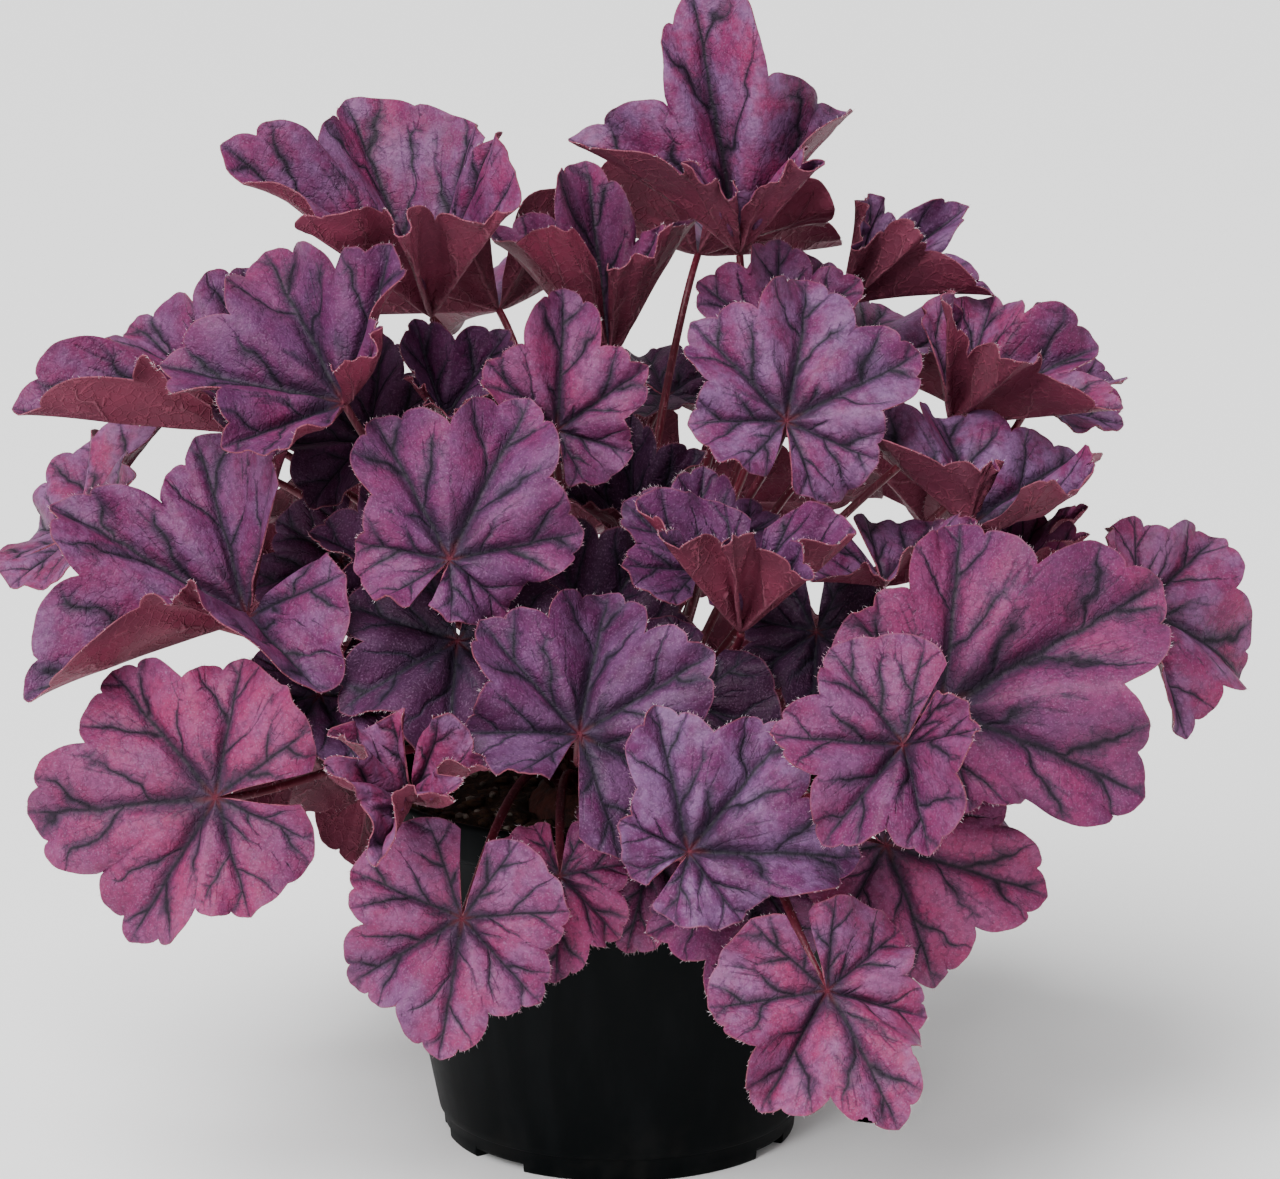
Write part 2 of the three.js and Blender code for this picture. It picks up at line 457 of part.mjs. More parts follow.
function toSolid(geometry) {
  const bare = geometry.clone();
  bare.deleteAttribute('normal');
  bare.deleteAttribute('uv');
  const merged = mergeVertices(bare, 1e-3);
  const index = merged.index.array;
  const kept = [];
  for (let k = 0; k < index.length; k += 3) {
    const [a, b, c] = index.slice(k, k + 3);
    if (a !== b && b !== c && c !== a) {
      kept.push(a, b, c);
    }
  }
  return new wasm.Manifold(new wasm.Mesh({
    numProp: 3,
    vertProperties: merged.attributes.position.array,
    triVerts: Uint32Array.from(kept),
  }));
}

function toGeometry(solid) {
  const mesh = solid.getMesh();
  const geometry = new THREE.BufferGeometry();
  geometry.setAttribute('position', new THREE.Float32BufferAttribute(mesh.vertProperties, 3));
  geometry.setIndex(new THREE.Uint32BufferAttribute(mesh.triVerts, 1));
  geometry.computeVertexNormals();
  return geometry;
}

// A block shaped like a piece of a ring, which cuts one notch through the foot ring.
function notchBlock([middle, width]) {
  const shape = new THREE.Shape();
  const bearing = (degrees) => (degrees - 90) * DEG;
  const steps = 4;
  const arc = Array.from({ length: steps + 1 }, (unused, k) => bearing(middle + width * (k / steps - 0.5)));
  arc.forEach((turn, k) => {
    const point = [(POT_FOOT_RADIUS + 4) * Math.cos(turn), (POT_FOOT_RADIUS + 4) * Math.sin(turn)];
    if (k === 0) {
      shape.moveTo(...point);
    } else {
      shape.lineTo(...point);
    }
  });
  arc.reverse().forEach((turn) => shape.lineTo(50 * Math.cos(turn), 50 * Math.sin(turn)));
  const block = new THREE.ExtrudeGeometry(shape, { depth: NOTCH_HEIGHT + 1, bevelEnabled: false });
  block.translate(0, 0, -1);
  return toSolid(block);
}

// The pot: a foot band with notches, a raised floor with drain holes and a middle foot, a tapered
// wall and a thick rolled rim.
function potGeometry() {
  const profile = [
    [0, 0],
    [14, 0],
    [15.5, POT_FLOOR_UNDERSIDE],
    [51, POT_FLOOR_UNDERSIDE],
    [52.5, 0],
    [POT_FOOT_RADIUS - 0.6, 0],
    [POT_FOOT_RADIUS, 0.6],
    [POT_FOOT_RADIUS + 0.6, FOOT_BAND_HEIGHT],
    [POT_FOOT_RADIUS + 1.9, FOOT_BAND_HEIGHT + 0.7],
    [POT_RIM_RADIUS - 3.3, POT_HEIGHT - 14],
    [POT_RIM_RADIUS - 0.3, POT_HEIGHT - 12.5],
    [POT_RIM_RADIUS, POT_HEIGHT - 11.5],
    [POT_RIM_RADIUS, POT_HEIGHT - 1.5],
    [POT_RIM_RADIUS - 0.8, POT_HEIGHT - 0.3],
    [POT_RIM_RADIUS - 1.7, POT_HEIGHT],
    [POT_RIM_RADIUS - 2.8, POT_HEIGHT - 0.4],
    [POT_INNER_TOP_RADIUS, POT_HEIGHT - 1.5],
    [POT_INNER_FOOT_RADIUS, POT_FLOOR_TOP],
    [0, POT_FLOOR_TOP],
  ];
  let solid = toSolid(turned(profile, POT_SIDES));
  for (const notch of FOOT_NOTCHES) {
    solid = solid.subtract(notchBlock(notch));
  }
  for (let hole = 0; hole < DRAIN_HOLES; hole += 1) {
    const drill = new THREE.CylinderGeometry(DRAIN_HOLE_RADIUS, DRAIN_HOLE_RADIUS, 20, 12);
    drill.rotateX(Math.PI / 2);
    const turn = 2 * Math.PI * (hole + 0.5) / DRAIN_HOLES;
    drill.translate(DRAIN_CIRCLE_RADIUS * Math.cos(turn), DRAIN_CIRCLE_RADIUS * Math.sin(turn), 0);
    solid = solid.subtract(toSolid(drill));
  }
  return toGeometry(solid);
}

function potInnerRadius(height) {
  const share = (height - POT_FLOOR_TOP) / (POT_HEIGHT - 1.5 - POT_FLOOR_TOP);
  return POT_INNER_FOOT_RADIUS + (POT_INNER_TOP_RADIUS - POT_INNER_FOOT_RADIUS) * share;
}

// The soil fills the pot and has a plain seat for the crown.
function soilGeometry() {
  const bottom = POT_FLOOR_TOP + FIT_GAP;
  const seat = CROWN_BASE_RADIUS + FIT_GAP;
  return turned([
    [0, bottom],
    [potInnerRadius(bottom) - FIT_GAP, bottom],
    [potInnerRadius(SOIL_TOP - 1) - FIT_GAP, SOIL_TOP - 1],
    [potInnerRadius(SOIL_TOP) - 8, SOIL_TOP + 0.3],
    [52, SOIL_TOP - 0.5],
    [seat, SOIL_TOP + 0.5],
    [seat, CROWN_BASE_HEIGHT - FIT_GAP],
    [0, CROWN_BASE_HEIGHT - FIT_GAP],
  ], POT_SIDES);
}

// The crown: a dome of rootstock on a short round base.
function crownGeometry() {
  const profile = [[0, CROWN_BASE_HEIGHT], [CROWN_BASE_RADIUS, CROWN_BASE_HEIGHT]];
  const widest = Math.asin(CROWN_BASE_RADIUS / CROWN_RADIUS);
  const steps = 9;
  for (let step = steps; step > 0; step -= 1) {
    const slope = widest * step / steps;
    profile.push([CROWN_RADIUS * Math.sin(slope), CROWN_CENTRE_HEIGHT + CROWN_RADIUS * Math.cos(slope)]);
  }
  profile.push([0, CROWN_CENTRE_HEIGHT + CROWN_RADIUS]);
  return turned(profile, CROWN_SIDES);
}

function addPart(group, name, geometry, look) {
  const mesh = new THREE.Mesh(geometry, new THREE.MeshStandardMaterial({ ...look, flatShading: true }));
  mesh.name = name;
  group.add(mesh);
  return mesh;
}

const heuchera = new THREE.Group();
heuchera.name = 'heuchera_in_pot';
addPart(heuchera, 'pot', potGeometry(), { color: POT_COLOUR, roughness: 0.5, metalness: 0 });
addPart(heuchera, 'potting_soil', soilGeometry(), { color: SOIL_COLOUR, roughness: 1, metalness: 0 });

const plant = new THREE.Group();
plant.name = 'plant';
heuchera.add(plant);
addPart(plant, 'crown', crownGeometry(), { color: CROWN_COLOUR, roughness: 0.9, metalness: 0 });
const feet = placeStalkFeet();
LEAVES.forEach((leaf, index) => {
  const frame = leafFrame(leaf);
  const geometry = leafGeometry(leaf, index, frame, feet[index]);
  const mesh = addPart(plant, leaf.name, geometry, { color: LEAF_COLOUR, roughness: 0.6, metalness: 0 });
  frame.decompose(mesh.position, mesh.quaternion, mesh.scale);
});

export default heuchera;
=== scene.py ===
"""A purple heuchera in a black nursery pot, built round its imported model.

The leaves, the pot, the soil and the crown are surfaces worked out with numpy. Each leaf follows
the same ribs, lobes and waves as its solid, and adds the quilting between its veins, the finer
teeth of its rim and the fine hairs.
"""
import math
from typing import NamedTuple

import bpy
import numpy as np
from bpy.props import FloatProperty, FloatVectorProperty, PointerProperty
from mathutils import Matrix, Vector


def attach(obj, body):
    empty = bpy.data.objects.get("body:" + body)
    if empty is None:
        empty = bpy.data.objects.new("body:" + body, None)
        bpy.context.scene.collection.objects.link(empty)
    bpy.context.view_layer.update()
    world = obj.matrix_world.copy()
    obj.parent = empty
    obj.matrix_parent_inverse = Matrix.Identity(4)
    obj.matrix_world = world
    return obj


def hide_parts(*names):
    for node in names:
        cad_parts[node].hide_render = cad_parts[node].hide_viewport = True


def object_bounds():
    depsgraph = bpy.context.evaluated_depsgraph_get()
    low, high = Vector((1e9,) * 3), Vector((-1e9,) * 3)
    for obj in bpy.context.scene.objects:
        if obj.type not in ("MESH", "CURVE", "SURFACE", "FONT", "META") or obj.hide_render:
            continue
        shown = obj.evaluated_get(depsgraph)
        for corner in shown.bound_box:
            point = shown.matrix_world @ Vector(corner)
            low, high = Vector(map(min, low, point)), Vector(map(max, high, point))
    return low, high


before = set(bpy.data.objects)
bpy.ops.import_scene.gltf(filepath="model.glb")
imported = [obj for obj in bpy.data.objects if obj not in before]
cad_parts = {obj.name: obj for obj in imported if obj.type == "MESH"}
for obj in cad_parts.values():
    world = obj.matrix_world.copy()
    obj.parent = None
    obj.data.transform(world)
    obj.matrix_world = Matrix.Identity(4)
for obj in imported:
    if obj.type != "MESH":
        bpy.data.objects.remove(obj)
CAD_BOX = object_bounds()

bl_info = {
    "name": "Potted Heuchera",
    "version": (1, 0, 0),
    "blender": (4, 5, 0),
    "location": "3D View > Sidebar > Heuchera",
    "description": "Builds the leaves, pot, soil and crown of a purple heuchera",
    "category": "Object",
}

# Shapes are worked out in millimetres, and this turns them into metres.
MM = 0.001
SEED = 4171

# Pot: the same measures as its solid. Profiles are pairs of a radius and a height.
POT_HEIGHT = 125
POT_FOOT_RADIUS = 60
POT_RIM_RADIUS = 84.5
POT_FLOOR_TOP = 6
POT_FLOOR_UNDERSIDE = 3
POT_INNER_FOOT_RADIUS = 58
POT_INNER_TOP_RADIUS = 81.2
POT_FOOT_RING_RADIUS = 51
POT_LIP_DROP = 1.5
POT_CENTRE_RING_RADIUS = 8
POT_CENTRE_FOOT = [(14, 0), (15, 1), (15.5, POT_FLOOR_UNDERSIDE)]
# The foot is counted from its own radius, and the rim from its own radius and the pot's height.
POT_FOOT_PROFILE = [(-9, 3), (-7.8, 0.5), (-7.3, 0), (-0.7, 0), (-0.2, 0.2), (0, 0.7), (0.3, 4),
                    (0.55, 7.7), (0.9, 8), (1.6, 8.3), (1.95, 8.8), (2.4, 11)]
POT_WALL_PROFILE = [(66.5, 32), (73, 66), (78, 94)]
POT_RIM_PROFILE = [(-3.6, -14.6), (-3, -13.8), (-0.8, -12.8), (-0.2, -12.3), (0, -11.4), (0, -1.7),
                   (-0.3, -0.8), (-0.9, -0.2), (-1.7, 0), (-2.5, -0.2), (-3.1, -0.8), (-3.3, -1.6)]
POT_INNER_PROFILE = [(69.8, 65), (POT_INNER_FOOT_RADIUS, POT_FLOOR_TOP)]
POT_STEP_DEGREES = 2.5
# Notches of the foot: bearing of the middle, and width, in degrees.
FOOT_NOTCHES = [(-80, 14), (-42.5, 21), (58.5, 17), (100, 21), (137, 14), (180, 17), (-122, 21)]
DRAIN_HOLES = 6
DRAIN_HOLE_RADIUS = 5.5
DRAIN_CIRCLE_RADIUS = 36

# Soil and crown
FIT_GAP = 0.35
SOIL_TOP = 113
SOIL_SHOULDER = 110.5
SOIL_SIDES = 180
SOIL_AXIS_RADIUS = 0.01
CRUMB_DROP = 0.4
CROWN_CENTRE_HEIGHT = 96
CROWN_RADIUS = 36
CROWN_BASE_RADIUS = 31
CROWN_BASE_HEIGHT = 100
CROWN_BASE_TOP = 108
CROWN_ROUGHNESS = 0.28
CROWN_SIDES = 120
BITS_INNER_RADIUS = 38
BITS_OUTER_RADIUS = 76
# Collar round a stalk's foot: radius of each ring, and its place along the stalk.
COLLAR_RINGS = np.array([(2.9, -1.6), (2.75, 0.2), (2.35, 1.9), (1.9, 2.3), (1.6, 1.5)])
COLLAR_SIDES = 12

# Leaf blade. Angles go round the stalk joint from the tip lobe, to the right positive.
LOBE_STEP = 52
BLADE_END = 170
OUTER_HALF_LOBE = BLADE_END - 2 * LOBE_STEP
NOTCH_DEPTH = 0.19
LOBE_ROUNDNESS = 2.4
TOOTH_DEPTH = 0.045
TIP_POINT = 0.035
FINE_TOOTH_DEPTH = 0.007
SINUS_RADIUS = 0.8
WAVE_HEIGHT = 0.065
PHASE_TURN = 6.283
# The usual curl of a leaf at the back
BOWED = (0, -10, -15, -10, 0)
BLADE_THICKNESS = 0.6
RIM_THICKNESS = 0.4
RIB_HEIGHT = 0.55
RIB_WIDTH = 0.022

# The blade's grid: how far out each row lies, and its columns to a half-lobe.
BLADE_ROWS = (
    [(reach, 6) for reach in (0.03, 0.07, 0.12, 0.18, 0.24)]
    + [(reach, 12) for reach in np.arange(0.30, 0.9, 0.05)]
    + [(reach, 24) for reach in (0.92, 0.955, 0.98, 1.0)]
)
# Angles of the grid's eleven half-lobe bounds, with the middle of each outer half-lobe.
GRID_TURNS = np.array([0, 0.5, 1, 2, 3, 4, 5, 6, 7, 8, 9, 9.5, 10])
GRID_ANGLES = np.array([-170, -134, -104, -78, -52, -26, 0, 26, 52, 78, 104, 134, 170])
# The seven main veins: their angles, and the bounds of the sectors that they feed.
VEIN_ANGLES = np.array([-152, -104, -52, 0, 52, 104, 152])
VEIN_BOUNDS = np.array([-134, -78, -26, 26, 78, 134])
VEIN_LOBES = np.array([0, 0, 1, 2, 3, 4, 4])
VEIN_LENGTHS = np.array([0.85, 1, 1, 1, 1, 1, 0.85])
SIDE_VEIN_STEP = 0.40
SIDE_VEIN_CLIMB = 1.05
SIDE_VEIN_CURVE = 0.7
SIDE_VEIN_SHIFT = 0.35

# Leaf stalk and hairs
STALK_RADIUS_TOP = 1.3
STALK_RADIUS_FOOT = 1.7
STALK_FLARE = 0.8
STALK_FLARE_HEIGHT = 5
STALK_RINGS = 22
STALK_SIDES = 10
FOOT_CLEARANCE = 0.4
# The stalks stand on the crown in circles: how many, and how far down from its top in degrees.
STALK_CIRCLES = [(9, 12), (18, 26), (1000, 40)]
RIM_HAIRS = 190
STALK_HAIRS = 60
HAIR_RADIUS = 0.06

# Stage, in metres and degrees
FLOOR_HALF = 20.0
LIGHT_AIM = (0, 0, 0.2)
HIGH_LIGHT_PLACE = (-0.7, -1.1, 2.3)
FRONT_LIGHT_PLACE = (-1.2, -1.9, 1.2)
HIGH_LIGHT_ANGLE = 45
CAMERA_PLACE = (0.007, -1.410, 0.513)
CAMERA_TILT = 77

# Order of a triangle's corners that turns its face round
FLIPPED = [0, 2, 1]


class Leaf(NamedTuple):
    """One leaf. hub is where the stalk meets the blade. face is the way the upper side looks:
    degrees from the front to the right, and degrees up. spin turns the tip lobe about that, from
    straight up to the right. length is the tip lobe's. lift raises, curl bends and lobes sizes the
    five lobes, from the left one to the right one; of lift and curl, one number stands for all
    five. fold is the fold between the ribs, wave the height of the rim's waves, and hook and pull
    bend the stalk at its top. tone holds the upper side's tone, from near-black purple (-1), which
    is painted shade on the inner leaves, over purple (0) to the pink of sunlit ones (1), and its
    silver bloom; without it both follow from the leaf's height and number."""

    name: str
    hub: tuple
    face: tuple
    spin: float
    length: float
    lift: object
    curl: object = 0
    lobes: tuple = (0.8, 0.94, 1, 0.94, 0.8)
    fold: float = 12
    wave: float = WAVE_HEIGHT
    hook: float = 0.6
    pull: float = 0.7
    tone: tuple = ()


# Tones below 0 darken the inner leaves towards near-black purple: painted shade.
LEAVES = [
    Leaf("leaf_top_right", (40, 12, 299), (0, 50), -13, 84, (65, 36, 36, 34, 60),
         curl=(0, -20, 0, -15, 0), lobes=(0.6, 0.8, 1, 0.76, 0.6), fold=18, tone=(0.6, 0.9)),
    Leaf("leaf_top_far_right", (76, 46, 277), (55, 60), 155, 52, (60, 44, 40, 58, 60),
         curl=(0, 0, -10, 10, 10), lobes=(0.75, 0.95, 1, 0.85, 0.65)),
    Leaf("leaf_top_left", (-62, 3, 279), (-12, 62), 222, 84, (56, 60, 58, 48, 42),
         curl=(0, 0, -10, -10, -5), lobes=(0.9, 0.8, 0.85, 1, 0.92), fold=12, tone=(0.5, 0.7)),
    Leaf("leaf_top_middle", (-3, 14, 262), (-8, 60), -12, 68, (68, 46, 38, 44, 66),
         curl=(0, -10, -10, -5, 0), lobes=(0.98, 0.88, 0.98, 0.78, 0.9), fold=14),
    Leaf("leaf_shoulder_far_left", (-122, 1, 241), (-40, 62), 230, 75, (30, 60, 24, 38, 38),
         curl=(-20, 0, 0, -10, -10), lobes=(0.6, 0.7, 1, 0.85, 0.75), tone=(0.45, 0.5)),
    Leaf("leaf_shoulder_left", (-88, -44, 259), (-15, 36), -35, 62, (30, 15, 10, 20, 40),
         curl=(20, -5, -10, 0, 40), lobes=(0.8, 0.95, 1, 0.8, 0.75)),
    Leaf("leaf_shoulder_middle_left", (-20, -38, 249), (5, 18), 5, 46, (10, 18, 5, 10, 10),
         curl=(0, 0, -10, 0, 0), lobes=(0.55, 0.7, 1, 0.75, 0.55)),
    Leaf("leaf_shoulder_dark", (16, 71, 240), (20, 75), 110, 40, (5, 5, -5, 5, 5),
         curl=(0, 0, -30, 0, 0), tone=(-0.5, 0.0)),
    Leaf("leaf_shoulder_middle_right", (54, -44, 253), (5, 30), 12, 51, (10, 5, 0, 5, 0),
         curl=(0, -10, -10, -10, -10), lobes=(0.62, 0.85, 1, 0.95, 0.62), tone=(0.2, 0.75)),
    Leaf("leaf_shoulder_upper_right", (53, 0, 270), (0, 35), 0, 36, 10),
    Leaf("leaf_shoulder_right", (111, 13, 241), (35, 66), 150, 60, (40, 34, 34, 50, 60),
         curl=(0, 0, -10, 0, 10), lobes=(0.8, 0.95, 1, 1, 0.9)),
    Leaf("leaf_shoulder_low_right", (114, -40, 218), (28, 52), 16, 52, (70, 8, 4, 10, 25),
         curl=(20, 0, -10, -10, 60), lobes=(0.6, 0.92, 1, 1, 0.95), pull=0.9, tone=(0.4, 0.95)),
    Leaf("leaf_shoulder_far_right", (172, -12, 183), (32, 40), 116, 52, (20, 5, -5, -10, 10),
         curl=(0, -10, -20, -20, 0), lobes=(0.6, 0.9, 1, 0.85, 0.5)),
    Leaf("leaf_shoulder_back_right", (141, 53, 241), (50, 54), 50, 40, 20),
    Leaf("leaf_front_upper_left", (-53, -82, 216), (3, 28), 26, 59, 0, curl=(0, -10, -5, -10, -30),
         lobes=(0.5, 0.88, 1, 0.72, 0.4), tone=(0.15, 0.3)),
    Leaf("leaf_inner_middle", (4, -3, 204), (0, 60), 0, 42, (50, 40, 40, 40, 50), tone=(-0.8, 0.1)),
    Leaf("leaf_inner_right", (26, -48, 205), (5, 40), 5, 34, (20, 10, 10, 10, 20),
         tone=(-0.3, 0.4)),
    Leaf("leaf_front_cupped", (39, -72, 190), (5, 62), 200, 58, (50, 60, 66, 58, 40),
         lobes=(0.9, 1, 0.95, 1, 0.85), fold=13, tone=(-0.05, 0.35)),
    Leaf("leaf_front_small_cup", (86, -47, 200), (15, 66), 150, 38, (12, 35, 35, 30, 20),
         curl=(0, 20, 20, 20, 0)),
    Leaf("leaf_side_far_left", (-183, 25, 200), (-70, 45), 0, 46, 10),
    Leaf("leaf_side_left", (-119, -60, 192), (-30, 50), 225, 74, (10, 50, 14, 28, 32),
         curl=(-10, 20, 0, 0, 0), lobes=(0.62, 0.6, 1, 0.92, 0.82), fold=14, tone=(0.3, 0.5)),
    Leaf("leaf_inner_left", (-71, -45, 203), (25, 40), -10, 34, (10, 10, 25, 10, 10),
         tone=(-0.6, 0.2)),
    Leaf("leaf_side_low_left", (-126, -102, 144), (-12, 22), -98, 62, (0, -5, 0, 0, 5),
         curl=(-5, -20, -10, -10, -5), lobes=(0.62, 0.86, 1, 0.88, 0.7), fold=9, tone=(1.0, 0.3)),
    Leaf("leaf_inner_low_left", (-95, -74, 170), (-15, 45), 195, 36, (0, 0, 10, 0, 0),
         tone=(-0.4, 0.4)),
    Leaf("leaf_inner_far_left", (-92, -13, 200), (-15, 32), 195, 34, (0, -8, 0, 0, 0),
         tone=(-0.5, 0.2)),
    Leaf("leaf_front_dark_left", (-51, -75, 188), (-2, 38), 183, 46, (0, 0, 0, 8, 0),
         tone=(-0.7, 0.1)),
    Leaf("leaf_front_middle", (-12, -108, 166), (-3, 38), 8, 51, (20, 12, 2, 10, -10),
         curl=(0, 0, -10, -5, -30), lobes=(0.72, 0.9, 1, 0.92, 0.92), fold=14, tone=(-0.4, 0.4)),
    Leaf("leaf_front_right", (22, -132, 135), (-4, 20), 38, 49, (5, 5, 0, 5, 25),
         curl=(0, 0, -10, -10, -30), lobes=(0.45, 0.92, 1, 1.05, 0.55), tone=(-0.1, 0.8)),
    Leaf("leaf_front_far_right", (87, -139, 171), (5, 34), -138, 40, (60, 5, 0, 0, 5),
         curl=(10, -20, -20, 0, 0), lobes=(1.1, 0.85, 0.95, 1, 0.9), fold=14, tone=(0.5, 0.4)),
    Leaf("leaf_side_right", (101, -104, 173), (6, 28), 62, 80, (0, 5, 5, 5, -2),
         curl=(0, 0, -10, -10, -30), lobes=(0.5, 0.76, 1, 0.84, 0.42), fold=11, tone=(0.45, 0.2)),
    Leaf("leaf_side_low_right", (84, -107, 130), (10, 25), 110, 53, (13, 0, 0, 0, 0),
         curl=(0, -10, -10, -20, 0), lobes=(0.6, 0.8, 1, 0.86, 0.6), fold=9, tone=(1.1, 0.3)),
    Leaf("leaf_front_young", (-64, -115, 147), (-5, 50), 190, 40, (30, 36, 20, 36, 30), curl=20,
         fold=15, wave=0.1, tone=(1.4, 0.85)),
    Leaf("leaf_low_left", (-48, -130, 113), (-8, 16), 187, 43, 0, curl=(0, -10, -10, -10, 0),
         lobes=(0.78, 0.8, 1, 0.95, 0.86), fold=9, tone=(0.55, 0.5)),
    Leaf("leaf_low_middle_left", (-18, -118, 123), (0, 35), 182, 36, (0, -20, -25, -20, 0),
         curl=(0, -20, -20, -20, 0), lobes=(0.6, 0.75, 0.95, 0.7, 0.6), tone=(0.7, 0.15)),
    Leaf("leaf_low_middle_right", (11, -98, 125), (-3, 29), 196, 34, (-20, -10, -20, -18, 0),
         curl=(0, -20, -20, -20, 0), tone=(0.6, 0.4)),
    Leaf("leaf_low_inner_right", (44, -112, 120), (14, 19), 195, 46, (-16, -18, 8, -5, 0),
         curl=(0, -20, -20, -20, 0), lobes=(0.7, 0.8, 1, 0.8, 0.5), tone=(0.4, 0.2)),
    Leaf("leaf_low_right", (64, -152, 97), (10, 22), 160, 49, (-15, -5, 30, -5, 0), curl=BOWED,
         lobes=(0.66, 0.66, 1, 0.84, 0.74), fold=13, hook=3, pull=1.1, tone=(0.9, 0.6)),
    Leaf("leaf_inner_front", (-10, -45, 181), (-5, 38), -20, 42, (18, 10, 10, 10, 10),
         tone=(-0.75, 0.1)),
    Leaf("leaf_inner_front_right", (20, -75, 167), (5, 35), 210, 40, 0, tone=(-0.8, 0.1)),
    Leaf("leaf_inner_low_right", (64, -51, 185), (-12, 35), 175, 32, (0, 10, 0, 5, 0),
         tone=(-0.8, 0.1)),
    Leaf("leaf_side_upper_right", (127, -17, 185), (35, 60), 150, 46, (50, 70, 70, 60, 40)),
    Leaf("leaf_inner_upper_left", (-83, -5, 239), (-30, 45), -60, 38, (10, 16, 10, 10, 10),
         tone=(-0.5, 0.2)),
    Leaf("leaf_shoulder_small_left", (-57, -20, 249), (-10, 42), 30, 36, (60, 20, 10, 15, 45),
         curl=(20, 0, 0, 0, 30), lobes=(0.7, 0.9, 1, 0.95, 0.8), tone=(-0.3, 0.3)),
    Leaf("leaf_back_low_right", (108, 54, 126), (115, 28), 170, 53, (0, -5, -5, -5, 0), curl=BOWED),
    Leaf("leaf_back_low_middle_right", (64, 115, 124), (150, 25), 190, 55, (0, -5, -5, -5, 0),
         curl=BOWED),
    Leaf("leaf_back_low_middle", (-4, 125, 118), (172, 26), 175, 57, (0, -5, -5, -5, 0),
         curl=BOWED),
    Leaf("leaf_back_low_middle_left", (-84, 108, 111), (-147, 24), 170, 53, (0, -5, -5, -5, 0),
         curl=BOWED),
    Leaf("leaf_back_low_left", (-110, 47, 120), (-112, 28), 185, 55, (0, -5, -5, -5, 0),
         curl=BOWED),
    Leaf("leaf_back_right", (127, 59, 195), (115, 45), 160, 59, (0, 5, 5, 5, 0), curl=BOWED),
    Leaf("leaf_back_middle_right", (79, 102, 218), (142, 45), 200, 57, (0, 5, 5, 5, 0), curl=BOWED),
    Leaf("leaf_back_middle", (23, 127, 191), (170, 42), 170, 61, (0, 5, 5, 5, 0), curl=BOWED),
    Leaf("leaf_back_middle_left", (-40, 127, 211), (-162, 45), 185, 59, (0, 5, 5, 5, 0),
         curl=BOWED),
    Leaf("leaf_back_left", (-101, 85, 192), (-130, 42), 175, 59, (0, 5, 5, 5, 0), curl=BOWED),
    Leaf("leaf_back_far_left", (-121, 39, 218), (-100, 48), 190, 55, 10, curl=BOWED),
    Leaf("leaf_back_top_middle", (27, 70, 290), (160, 60), 170, 61, (20, 20, 25, 20, 20)),
    Leaf("leaf_back_top_left", (-42, 74, 270), (-150, 58), 190, 63, 20),
    Leaf("leaf_back_top_right", (76, 55, 255), (85, 58), 150, 55, (20, 20, 25, 20, 20)),
]


# ------------------------------------------------------------------------------------- settings

def linear(red, green, blue):
    """A display colour of 0 to 255 as linear values."""
    share = np.array([red, green, blue]) / 255
    return tuple(float(c) for c in np.where(share <= 0.04045, share / 12.92,
                                            ((share + 0.055) / 1.055) ** 2.4))


def colour_setting(name, description, default):
    """A colour in the panel."""
    return FloatVectorProperty(name=name, description=description, default=default, size=3,
                               min=0, max=1, subtype="COLOR")


def number_setting(name, description, default, most, least=0, **kind):
    """A number in the panel, with its bounds and its subtype or unit."""
    return FloatProperty(name=name, description=description, default=default, min=least, max=most,
                         **kind)


FACTOR = {"subtype": "FACTOR"}
LENGTH = {"subtype": "DISTANCE", "unit": "LENGTH"}


class HeucheraPotSettings(bpy.types.PropertyGroup):
    """Look of the pot."""

    colour: colour_setting("Plastic Colour", "Base colour of the moulded pot", linear(2, 4, 5))
    roughness: number_setting("Plastic Roughness", "How matt the moulded pot is", 0.5, 1, **FACTOR)


class HeucheraSoilSettings(bpy.types.PropertyGroup):
    """Size and colour of the potting soil and the crown."""

    crumb_height: number_setting(
        "Crumb Height", "Height of the crumbs on the soil's surface", 0.0016, 0.005, **LENGTH)
    colour: colour_setting("Soil Colour", "Base colour of the damp potting soil",
                           linear(52, 38, 29))
    crown_colour: colour_setting("Crown Colour", "Base colour of the woody rootstock",
                                 linear(92, 52, 46))


class HeucheraLeafSettings(bpy.types.PropertyGroup):
    """Sizes and colours of the leaves."""

    quilting: number_setting(
        "Quilting", "How far the blade puffs up between its veins, for its length", 0.036, 0.05,
        **FACTOR)
    ruffle: number_setting(
        "Ruffle", "How far the rim's small waves rise, for the leaf's length", 0.025, 0.05,
        **FACTOR)
    hair_length: number_setting(
        "Hair Length", "Length of the hairs on rims and stalks", 0.0012, 0.003, **LENGTH)
    purple: colour_setting("Purple", "Upper side of the shaded leaves", linear(83, 33, 73))
    pink: colour_setting("Pink", "Upper side of the sunlit leaves", linear(124, 42, 80))
    bloom: colour_setting("Bloom", "Silvery bloom beside the veins", linear(112, 82, 120))
    vein: colour_setting("Vein Marks", "Dark marks along the veins of the upper side",
                         linear(19, 16, 24))
    underside: colour_setting("Underside", "Wine red of the lower side", linear(118, 40, 64))
    stalk: colour_setting("Stalk", "Crimson of the stalks", linear(92, 18, 37))


